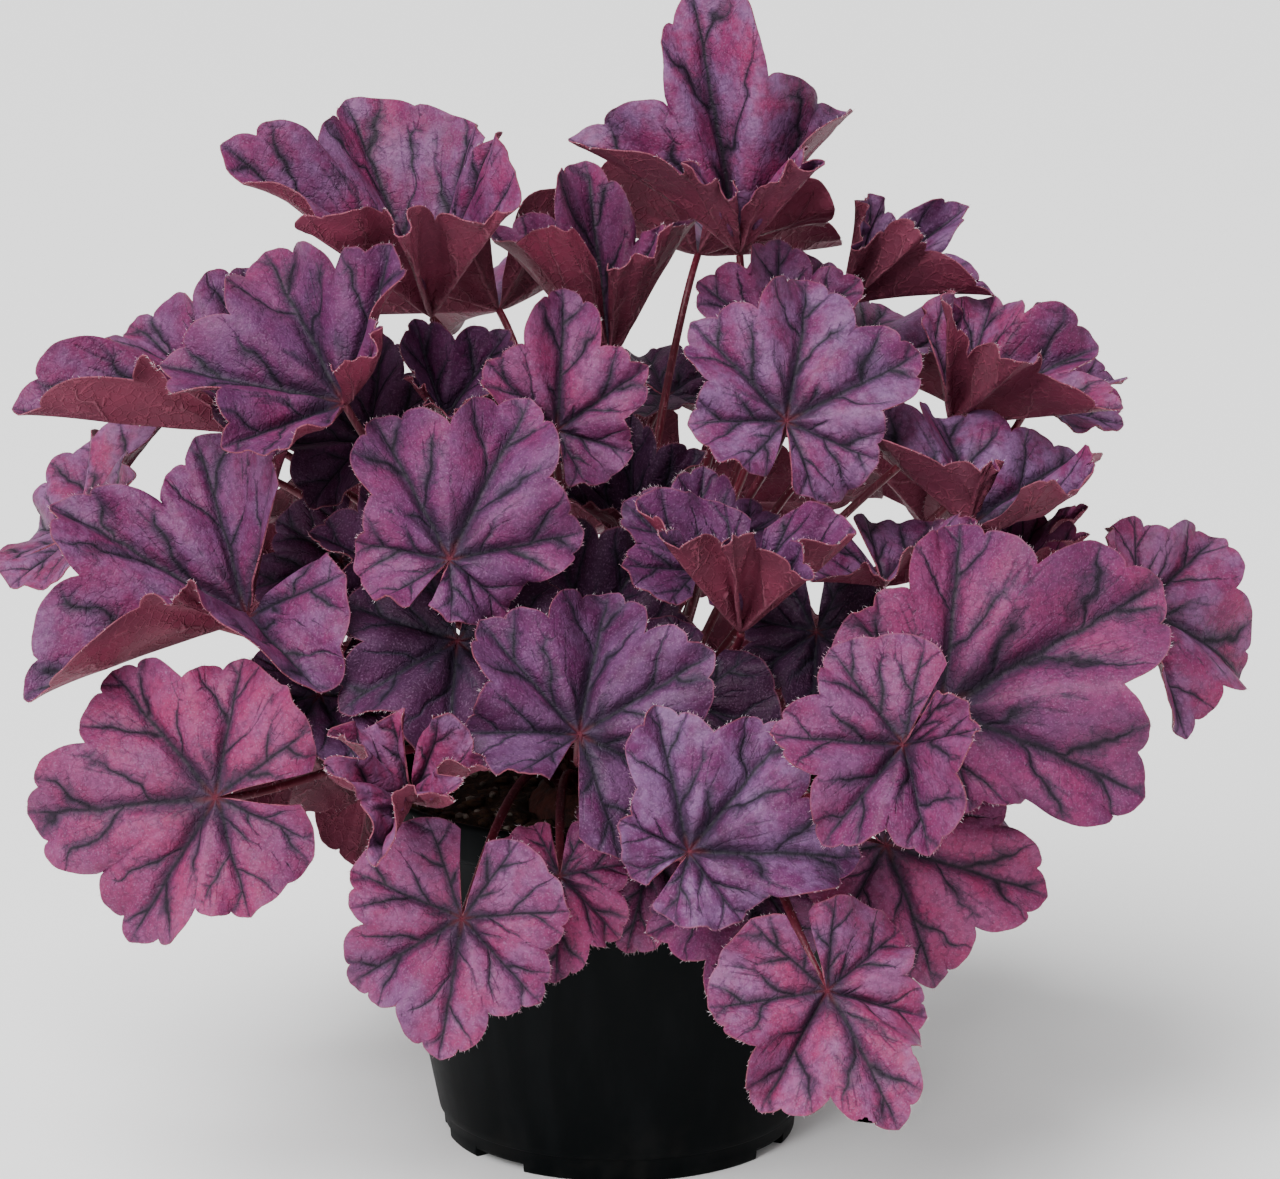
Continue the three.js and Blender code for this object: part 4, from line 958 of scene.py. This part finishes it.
def stalk_line(leaf, foot, turned, hub):
    """The stalk's centre line in the leaf's own frame, a cubic Hermite curve from the crown to the
    joint, with two directions across it and its radius, which flares at the foot."""
    start = (foot[0] - hub) @ turned
    span = np.linalg.norm(start)
    leave = foot[1] @ turned * span
    arrive = normalized(np.array([0, leaf.hook, 1.0])) * span * leaf.pull
    u = (1 - (1 - np.linspace(0, 1, STALK_RINGS)) ** 1.15)[:, None] * (1 - 1.0 / span)
    line = ((2 * u ** 3 - 3 * u ** 2 + 1) * start + (u ** 3 - 2 * u ** 2 + u) * leave
            + (u ** 3 - u ** 2) * arrive)
    along = normalized((6 * u ** 2 - 6 * u) * start + (3 * u ** 2 - 4 * u + 1) * leave
                       + (3 * u ** 2 - 2 * u) * arrive)
    plane = np.cross(leave, arrive)
    side = normalized(plane - along * (along @ plane)[:, None])
    u = u[:, 0]
    thick = STALK_RADIUS_FOOT + (STALK_RADIUS_TOP - STALK_RADIUS_FOOT) * u
    thick = thick + STALK_FLARE * np.clip(1 - u * span / STALK_FLARE_HEIGHT, 0, 1) ** 2
    return line, side, np.cross(along, side), thick


def hair_mesh(root, way, length):
    """Thin three-sided hairs, each closed at its root."""
    first = normalized(np.cross(way, [0.31, 0.72, 0.62]))
    second = np.cross(way, first)
    points = np.stack([root + HAIR_RADIUS * first,
                       root - HAIR_RADIUS * (0.5 * first - 0.87 * second),
                       root - HAIR_RADIUS * (0.5 * first + 0.87 * second),
                       root + way * length], 1).reshape(-1, 3)
    base = 4 * np.arange(len(root))[:, None]
    return points, np.concatenate([base + corners for corners in (
        [0, 1, 3], [1, 2, 3], [2, 0, 3], [0, 2, 1])])


def leaf_piece(leaf, index, foot, grid, settings, materials, random):
    """One leaf as closed shells: the two-sided blade over its grid, the round stalk and thin
    hairs."""
    angles, reach, triangles, sector, boundary = grid
    radius, _ = blade_edge(angles, leaf.lobes)
    offset = SIDE_VEIN_SHIFT * np.array([leaf_noise(index, 10 + k) for k in range(7)])

    # height of the quilting and of the rim's small waves, along the blade's normal
    own = np.searchsorted(VEIN_BOUNDS, angles)
    centre = VEIN_ANGLES[own]
    bounds = np.concatenate([[-BLADE_END], VEIN_BOUNDS, [BLADE_END]])
    half = np.where(angles < centre, centre - bounds[own], bounds[own + 1] - centre)
    between = smoothstep(0.70, 1.0, np.abs(angles - centre) / half)
    between[0] = 0
    across, along, start = vein_places(angles, reach, radius, leaf.lobes, own)
    count = start / SIDE_VEIN_STEP + 0.5 * (across > 0) + offset[own]
    turn = np.radians(angles)
    ruffle = (np.sin(11 * turn + wave_phase(index, 3)) * reach ** 5
              + 0.7 * np.sin(19 * turn + wave_phase(index, 4)) * reach ** 7)
    height = (settings.quilting * quilting(across, count, start, between, reach)
              + settings.ruffle * ruffle) * (leaf.wave / WAVE_HEIGHT) ** 2 * leaf.length
    middle = blade_points(angles, reach, leaf, index)
    middle = middle + point_normals(middle, triangles) * height[:, None]
    normals = point_normals(middle, triangles)
    thickness = BLADE_THICKNESS + (RIM_THICKNESS - BLADE_THICKNESS) * reach ** 4
    rib = RIB_HEIGHT * np.exp(-(across / RIB_WIDTH) ** 2) * np.clip(1.1 - along, 0, 1)
    rib = rib * smoothstep(0, 0.1, reach)
    sides = np.concatenate([middle + normals * thickness[:, None] / 2,
                            middle - normals * (thickness / 2 + rib)[:, None]])

    # edge strip: joins both sides along the boundary
    size = len(middle)
    after = np.roll(boundary, -1)
    strip = np.concatenate([np.stack([boundary, after, after + size], -1),
                            np.stack([boundary, after + size, boundary + size], -1)])
    blade = np.concatenate([triangles, triangles[:, FLIPPED] + size, strip])
    edge = np.stack([boundary, after], -1)

    # vein maps for each corner, from its triangle's own sector; the side of the main vein comes
    # from the whole triangle, so that its seam is crisp
    sector = np.repeat(sector, 3).reshape(-1, 3)
    corner_across, corner_along, corner_start = vein_places(
        angles[triangles], reach[triangles], radius[triangles], leaf.lobes, sector)
    corner_count = (corner_start / SIDE_VEIN_STEP
                    + 0.5 * (corner_across.sum(1, keepdims=True) > 0) + offset[sector])

    # stalk, whose last ring stays under the middle of the blade, whichever way its lobes slope
    turned, hub = leaf_frame(leaf)
    line, side, front, thick = stalk_line(leaf, foot, turned, hub)
    spokes = heading(even_bearings(STALK_SIDES)) @ np.stack([side, front], 1)
    rings = line[:, None] + spokes * thick[:, None, None]
    collar, last = middle[1:boundary[-1] + 1], rings[-1]
    rise = np.interp(np.arctan2(last[:, 1], last[:, 0]), np.arctan2(collar[:, 1], collar[:, 0]),
                     collar[:, 2] / np.hypot(collar[:, 0], collar[:, 1]), period=2 * np.pi)
    last[:, 2] = np.minimum(last[:, 2], rise * np.hypot(last[:, 0], last[:, 1]) - 0.2)
    stalk = ring_mesh(rings, line[0], (0, 0, -0.1))

    # hairs: roots and ways along the rim and up the stalk
    rim = boundary[len(BLADE_ROWS):-len(BLADE_ROWS) + 1]
    picked = random.uniform(0, len(rim) - 1.001, RIM_HAIRS)
    whole, part = picked.astype(int), (picked % 1)[:, None]
    near = rim[whole]
    root = middle[near] * (1 - part) + middle[near + 1] * part
    outward = normalized(middle[near] - middle[near - len(rim)])
    lean = normals[near] * random.normal(0, 0.5, (RIM_HAIRS, 1))
    way = normalized(outward + lean + random.normal(0, 0.35, (RIM_HAIRS, 3)))
    ring = random.integers(2, STALK_RINGS - 1, STALK_HAIRS)
    bearing = random.uniform(0, 2 * np.pi, (STALK_HAIRS, 1))
    spoke = np.cos(bearing) * side[ring] + np.sin(bearing) * front[ring]
    slide = random.uniform(0, 1, (STALK_HAIRS, 1))
    stalk_root = (line[ring] * (1 - slide) + line[ring - 1] * slide
                  + spoke * (thick[ring][:, None] * 0.95))
    stalk_way = normalized(spoke + random.normal(0, 0.3, (STALK_HAIRS, 3)))
    length = settings.hair_length / MM * random.uniform(0.5, 1.4, (RIM_HAIRS + STALK_HAIRS, 1))
    hairs = hair_mesh(np.concatenate([root, stalk_root]), np.concatenate([way, stalk_way]), length)

    points, all_triangles = joined([(sides, blade), stalk, hairs])
    tone, bloom = leaf.tone or (
        np.clip(0.65 - (leaf.hub[2] - 130) / 260 + 0.4 * leaf_noise(index, 5), 0, 1),
        0.25 + 0.6 * leaf_noise(index, 6))

    def corner_map(*pair):
        """A pair for each corner of the upper side, the lower side and, as zeros, the rest."""
        pair = np.stack(pair, -1)
        rest = np.zeros((len(all_triangles) - 2 * len(pair), 3, 2))
        return np.concatenate([pair, pair[:, FLIPPED], rest])

    def point_value(value):
        """A value for each point of the upper side, the lower side and, as zero, the rest."""
        return np.concatenate([value, value, np.zeros(len(points) - 2 * size)])

    return make_piece(
        leaf.name + "_blade_and_stalk", points @ turned.T + hub, all_triangles, materials, "leaf",
        replaces=leaf.name, sharp=np.concatenate([edge, edge + size]),
        face_materials=np.repeat([0, 1, 2, 3], [len(triangles), len(triangles) + len(strip),
                                                len(stalk[1]), len(hairs[1])]),
        corner_maps={"veins": corner_map(corner_across, corner_along),
                     "branches": corner_map(corner_count, corner_start)},
        point_values={"between_lobes": point_value(between),
                      "rim_distance": point_value((1 - reach) * radius * leaf.length),
                      "tone": np.full(len(points), tone), "bloom": np.full(len(points), bloom)})


# --------------------------------------------------------------------------- pot, soil and crown

def notch_bearings():
    """The wall's bearings: even steps, and close pairs at both ends of each foot notch."""
    even = np.arange(0, 360, POT_STEP_DEGREES)
    ends = np.array([middle - 90 + side * width / 2 + 0.05 * way
                     for middle, width in FOOT_NOTCHES for side in (-1, 1) for way in (-1, 1)])
    return np.radians(np.unique(np.round(np.concatenate([even, ends % 360]), 3)))


def in_notch(bearings):
    """True where a bearing lies inside one of the foot's notches."""
    middle, width = np.array(FOOT_NOTCHES).T[..., None]
    away = (np.degrees(bearings) - (middle - 90) + 180) % 360 - 180
    return (np.abs(away) < width / 2).any(0)


def pot_piece(settings):
    """The pot: a centre foot, a floor with drain holes, and a wall turned from its profile, whose
    foot ring is lifted to the floor's underside within each notch. The floor between them is one
    sheet for each hole, which blends from the hole's circle to the sector's outline."""
    bearings = notch_bearings()
    wall = [(POT_FOOT_RADIUS + out, up) for out, up in POT_FOOT_PROFILE] + POT_WALL_PROFILE
    wall += [(POT_RIM_RADIUS + out, POT_HEIGHT + up) for out, up in POT_RIM_PROFILE]
    shell = lathe(wall + POT_INNER_PROFILE, bearings)
    shell[(shell[..., 2] < POT_FLOOR_UNDERSIDE) & in_notch(bearings), 2] = POT_FLOOR_UNDERSIDE
    centre = POT_CENTRE_FOOT[-1][0]
    lid = lathe([(POT_CENTRE_RING_RADIUS, POT_FLOOR_TOP), (centre, POT_FLOOR_TOP)], bearings)
    parts = [ring_mesh(shell), ring_mesh(lathe(POT_CENTRE_FOOT, bearings), (0, 0, 0)),
             turned_round(ring_mesh(lid, (0, 0, POT_FLOOR_TOP)))]

    # where a sheet's rows lie between its hole and its outline, and the points along its sides
    blend = np.array([0, 0.12, 0.45, 1.0])[:, None, None]
    spread = np.linspace(0, 1, 9)[1:-1, None]
    corners = 2 * np.pi * np.arange(DRAIN_HOLES + 1) / DRAIN_HOLES
    for start, end in zip(corners, corners[1:]):
        inside = bearings[(bearings > start + 1e-4) & (bearings < end - 1e-4)]
        arc = heading(np.concatenate([[start], inside, [end]]))
        hub = DRAIN_CIRCLE_RADIUS * heading((start + end) / 2)
        outlines = []
        for outer in (POT_FOOT_RING_RADIUS, POT_INNER_FOOT_RADIUS):
            radii = centre + (outer - centre) * spread
            outlines.append(np.concatenate([outer * arc, radii[::-1] * heading(end),
                                            centre * arc[::-1], radii * heading(start)]))
        circle = hub + normalized(outlines[0] - hub) * DRAIN_HOLE_RADIUS
        under, over = (np.insert(circle + (outline - circle) * blend, 2, height, axis=-1)
                       for outline, height in zip(outlines, (POT_FLOOR_UNDERSIDE, POT_FLOOR_TOP)))
        parts += [ring_mesh(under), turned_round(ring_mesh(over)),
                  turned_round(ring_mesh(np.stack([under[0], over[0]])))]

    # the sheets share their seams' points, and the seams stay crisp
    points, triangles = joined(parts)
    edges = np.sort(triangles[:, [0, 1, 1, 2, 2, 0]].reshape(-1, 2), 1)
    edges, uses = np.unique(edges, axis=0, return_counts=True)
    _, first, shared = np.unique(np.round(points, 4), axis=0, return_index=True,
                                 return_inverse=True)
    shared = shared.ravel()
    return make_piece("nursery_pot", points[first], shared[triangles], [pot_material(settings)],
                      "pot", replaces="pot", sharp=shared[edges[uses == 1]])


def value_noise(x, y, seed):
    """Smooth noise over a plane: random values on a lattice, blended by smooth steps."""
    table = np.random.default_rng(seed).uniform(-1, 1, (64, 64))
    column, row = np.floor(x).astype(int), np.floor(y).astype(int)
    across, down = smoothstep(0, 1, x - column), smoothstep(0, 1, y - row)
    near, far = (table[(row + j) % 64, column % 64] * (1 - across)
                 + table[(row + j) % 64, (column + 1) % 64] * across for j in (0, 1))
    return near * (1 - down) + far * down


def pot_inner_radius(height):
    """Radius of the pot's inner wall, which widens evenly from its floor to its rim."""
    share = (height - POT_FLOOR_TOP) / (POT_HEIGHT - POT_LIP_DROP - POT_FLOOR_TOP)
    return POT_INNER_FOOT_RADIUS + (POT_INNER_TOP_RADIUS - POT_INNER_FOOT_RADIUS) * share


def soil_top(x, y, crumb):
    """Height of the soil's surface: level, with crumbs of three sizes added up."""
    crumbs = (value_noise(x / 7, y / 7, SEED) + 0.7 * value_noise(x / 3.1, y / 3.1, SEED + 1)
              + 0.45 * value_noise(x / 1.5, y / 1.5, SEED + 2))
    return SOIL_TOP - CRUMB_DROP + crumb * crumbs


def soil_piece(settings):
    """The soil: a plain tapered plug turned from its profile under a crumbly top, with a round
    seat for the crown."""
    bottom = POT_FLOOR_TOP + FIT_GAP
    seat_radius, seat_height = CROWN_BASE_RADIUS + FIT_GAP, CROWN_BASE_HEIGHT - FIT_GAP
    rim = pot_inner_radius(SOIL_SHOULDER) - FIT_GAP
    radii = np.append(np.linspace(rim - 0.8, seat_radius + 0.5, 34), seat_radius)
    sides = [(SOIL_AXIS_RADIUS, bottom), (pot_inner_radius(bottom) - FIT_GAP, bottom),
             (rim, SOIL_SHOULDER)]
    seat = [(seat_radius, seat_height), (SOIL_AXIS_RADIUS, seat_height)]
    profile = sides + [(radius, SOIL_TOP) for radius in radii] + seat
    rings = lathe(profile, even_bearings(SOIL_SIDES))
    top = rings[len(sides):-len(seat)]
    top[..., 2] = soil_top(top[..., 0], top[..., 1], settings.crumb_height / MM)
    material = grainy_material("Potting Soil", 0.25, (180.0, 900.0), linear(28, 20, 16),
                               settings.colour, (0.75, 0.95), 0.0012, linear(92, 68, 50))
    return make_piece("soil_surface", *ring_mesh(rings, (0, 0, bottom), (0, 0, seat_height)),
                      [material], "soil", replaces="potting_soil")


def scattered_bits(name, material, crumb, seed, count, size, squash):
    """Small closed lumps on the soil: a coarse ball for each, with every corner moved at random,
    turned and flattened, and sunk a little into the surface."""
    random = np.random.default_rng(seed)
    golden = (1 + 5 ** 0.5) / 2
    ball = normalized(np.array([
        (-1, golden, 0), (1, golden, 0), (-1, -golden, 0), (1, -golden, 0), (0, -1, golden),
        (0, 1, golden), (0, -1, -golden), (0, 1, -golden), (golden, 0, -1), (golden, 0, 1),
        (-golden, 0, -1), (-golden, 0, 1)]))
    faces = np.array([
        (0, 11, 5), (0, 5, 1), (0, 1, 7), (0, 7, 10), (0, 10, 11), (1, 5, 9), (5, 11, 4),
        (11, 10, 2), (10, 7, 6), (7, 1, 8), (3, 9, 4), (3, 4, 2), (3, 2, 6), (3, 6, 8), (3, 8, 9),
        (4, 9, 5), (2, 4, 11), (6, 2, 10), (8, 6, 7), (9, 8, 1)])
    lumps = ball * random.uniform(0.72, 1.2, (count, 12, 1))
    lumps = lumps * np.array(squash) * random.uniform(0.6, 1.25, (count, 1, 1)) * size
    turn = random.uniform(0, 2 * np.pi, (count, 1))
    radius = np.sqrt(random.uniform(BITS_INNER_RADIUS ** 2, BITS_OUTER_RADIUS ** 2, (count, 1)))
    bearing = random.uniform(0, 2 * np.pi, (count, 1))
    x, y = radius * np.cos(bearing), radius * np.sin(bearing)
    lumps = np.stack([
        x + lumps[..., 0] * np.cos(turn) - lumps[..., 1] * np.sin(turn),
        y + lumps[..., 0] * np.sin(turn) + lumps[..., 1] * np.cos(turn),
        soil_top(x, y, crumb) + lumps[..., 2] + 0.25 * size * squash[2]], -1)
    triangles = faces + 12 * np.arange(count)[:, None, None]
    return make_piece(name, lumps.reshape(-1, 3), triangles.reshape(-1, 3), [material], "soil")


def crown_piece(settings):
    """The crown: a dome on a short base, roughened by three sines of its bearing and slope, with a
    short collar of old sheaths round the foot of each stalk."""
    bearings = even_bearings(CROWN_SIDES)
    slopes = np.linspace(math.asin(CROWN_BASE_RADIUS / CROWN_RADIUS), 0.04, 26)[:, None]
    radius = CROWN_RADIUS - FIT_GAP + CROWN_ROUGHNESS * (
        np.sin(23 * bearings + 5 * slopes) * np.sin(37 * slopes)
        + 0.6 * np.sin(41 * bearings - 17 * slopes) + 0.5 * np.sin(9 * bearings + 51 * slopes))
    dome = np.stack([radius * np.sin(slopes) * np.cos(bearings),
                     radius * np.sin(slopes) * np.sin(bearings),
                     CROWN_CENTRE_HEIGHT + radius * np.cos(slopes)], -1)
    base = lathe([(CROWN_BASE_RADIUS, CROWN_BASE_HEIGHT),
                  (CROWN_BASE_RADIUS, CROWN_BASE_TOP)], bearings)
    parts = [ring_mesh(np.concatenate([base, dome]), (0, 0, CROWN_BASE_HEIGHT),
                       (0, 0, CROWN_CENTRE_HEIGHT + CROWN_RADIUS - 0.4))]
    width, up = COLLAR_RINGS.T[..., None, None]
    for foot, way in stalk_feet():
        side = normalized(np.cross(way, [0.3, 0.9, 0.1]))
        spokes = heading(even_bearings(COLLAR_SIDES)) @ [side, np.cross(way, side)]
        parts.append(ring_mesh(foot + up * way + width * spokes,
                               foot - 1.6 * way, foot + 1.4 * way))
    material = grainy_material("Rootstock Bark", 0.3, (150.0, 1100.0), linear(44, 28, 24),
                               settings.crown_colour, (0.6, 0.85), 0.001)
    return make_piece("rootstock", *joined(parts), [material], "crown", replaces="crown")


# ------------------------------------------------------------------------------------- operators

class HEUCHERA_OT_build_pot(bpy.types.Operator):
    """Build the nursery pot"""

    bl_idname = "heuchera.build_pot"
    bl_label = "Build Pot"

    def execute(self, context):
        pot_piece(context.scene.heuchera_pot)
        return {"FINISHED"}


class HEUCHERA_OT_build_soil(bpy.types.Operator):
    """Build the potting soil with its bark and perlite"""

    bl_idname = "heuchera.build_soil"
    bl_label = "Build Soil"

    def execute(self, context):
        settings = context.scene.heuchera_soil
        crumb = settings.crumb_height / MM
        soil_piece(settings)
        bark = grainy_material("Bark Chips", 0.3, (320.0, 1600.0), linear(38, 26, 19),
                               linear(84, 60, 42), (0.7, 0.9), 0.0006)
        scattered_bits("bark_chips", bark, crumb, SEED + 5, count=240, size=2.6,
                       squash=(1.5, 0.8, 0.45))
        perlite = grainy_material("Perlite Grains", 0.4, (500.0, 2600.0), linear(92, 84, 74),
                                  linear(160, 152, 140), (0.6, 0.85), 0.0003)
        scattered_bits("perlite_grains", perlite, crumb, SEED + 6, count=130, size=1.5,
                       squash=(1, 0.9, 0.8))
        return {"FINISHED"}


class HEUCHERA_OT_build_crown(bpy.types.Operator):
    """Build the woody crown that the leaves grow from"""

    bl_idname = "heuchera.build_crown"
    bl_label = "Build Crown"

    def execute(self, context):
        crown_piece(context.scene.heuchera_soil)
        return {"FINISHED"}


class HEUCHERA_OT_build_leaves(bpy.types.Operator):
    """Build every leaf with its stalk and hairs"""

    bl_idname = "heuchera.build_leaves"
    bl_label = "Build Leaves"

    def execute(self, context):
        settings = context.scene.heuchera_leaf
        materials = [upper_side_material(settings), underside_material(settings),
                     stalk_material(settings), hair_material()]
        grid = blade_grid()
        for index, (leaf, foot) in enumerate(zip(LEAVES, stalk_feet())):
            leaf_piece(leaf, index, foot, grid, settings, materials,
                       np.random.default_rng(SEED + 100 + index))
        return {"FINISHED"}


class HEUCHERA_OT_build_stage(bpy.types.Operator):
    """Set up the plain floor, the soft lights and the camera"""

    bl_idname = "heuchera.build_stage"
    bl_label = "Build Stage"

    def execute(self, context):
        scene = context.scene
        settings = scene.heuchera_stage
        link = scene.collection.objects.link
        mesh = bpy.data.meshes.new("floor")
        mesh.from_pydata([(FLOOR_HALF * x, FLOOR_HALF * y, 0)
                          for x, y in ((-1, -1), (1, -1), (1, 1), (-1, 1))], [], [(0, 1, 2, 3)])
        floor = bpy.data.objects.new("floor", mesh)
        link(floor)
        material, n = new_material("Stage Floor", 0.1)
        shade = n.noise(n.object_place(), 3.0, 2.0)
        colour = n.mix(n.ramp(shade, 0.3, 0.7, 0.0, 0.02), settings.floor_colour,
                       (0.85, 0.85, 0.85))
        mesh.materials.append(finished(material, n, colour, n.ramp(shade, 0.3, 0.7, 0.85, 0.95)))

        world = bpy.data.worlds.new("Soft Surround")
        world.use_nodes = True
        background = world.node_tree.nodes["Background"]
        background.inputs["Color"].default_value = (1, 1, 1, 1)
        background.inputs["Strength"].default_value = settings.sky
        scene.world = world
        high = bpy.data.lights.new("High Light", "SUN")
        high.energy, high.angle = settings.key, math.radians(HIGH_LIGHT_ANGLE)
        front = bpy.data.lights.new("Front Light", "AREA")
        front.energy, front.size = settings.front, 1.0
        for light, place in ((high, HIGH_LIGHT_PLACE), (front, FRONT_LIGHT_PLACE)):
            lamp = bpy.data.objects.new(light.name, light)
            lamp.location = place
            back = normalized(np.array(place) - LIGHT_AIM)
            lamp.rotation_euler = (math.acos(back[2]), 0, math.atan2(back[0], -back[1]))
            link(lamp)

        camera = bpy.data.cameras.new("Camera")
        camera.sensor_width = 36
        camera.lens = settings.focal_length
        camera.clip_start, camera.clip_end = 0.05, 60
        viewer = bpy.data.objects.new("Camera", camera)
        viewer.location = CAMERA_PLACE
        viewer.rotation_euler = (math.radians(CAMERA_TILT), 0, 0)
        link(viewer)
        scene.camera = viewer
        return {"FINISHED"}


class HEUCHERA_PT_sidebar(bpy.types.Panel):
    """Lists the steps and their settings"""

    bl_idname = "HEUCHERA_PT_sidebar"
    bl_label = "Potted Heuchera"
    bl_space_type = "VIEW_3D"
    bl_region_type = "UI"
    bl_category = "Heuchera"

    def draw(self, context):
        steps = [("pot", "pot"), ("soil", "soil"), ("crown", None), ("leaves", "leaf"),
                 ("stage", "stage")]
        for step, group in steps:
            box = self.layout.box()
            box.operator("heuchera.build_" + step)
            if group:
                settings = getattr(context.scene, "heuchera_" + group)
                for key in settings.__annotations__:
                    box.prop(settings, key)


SETTINGS = {
    "heuchera_pot": HeucheraPotSettings, "heuchera_soil": HeucheraSoilSettings,
    "heuchera_leaf": HeucheraLeafSettings, "heuchera_stage": HeucheraStageSettings,
}
CLASSES = (
    *SETTINGS.values(), HEUCHERA_OT_build_pot, HEUCHERA_OT_build_soil, HEUCHERA_OT_build_crown,
    HEUCHERA_OT_build_leaves, HEUCHERA_OT_build_stage, HEUCHERA_PT_sidebar,
)


def register():
    for cls in CLASSES:
        bpy.utils.register_class(cls)
    for name, cls in SETTINGS.items():
        setattr(bpy.types.Scene, name, PointerProperty(type=cls))


def unregister():
    for name in SETTINGS:
        delattr(bpy.types.Scene, name)
    for cls in reversed(CLASSES):
        bpy.utils.unregister_class(cls)


def main():
    register()
    bpy.ops.heuchera.build_pot()
    bpy.ops.heuchera.build_soil()
    bpy.ops.heuchera.build_crown()
    bpy.ops.heuchera.build_leaves()
    bpy.ops.heuchera.build_stage()
    bpy.context.view_layer.update()
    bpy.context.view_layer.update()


if __name__ == "__main__":
    main()
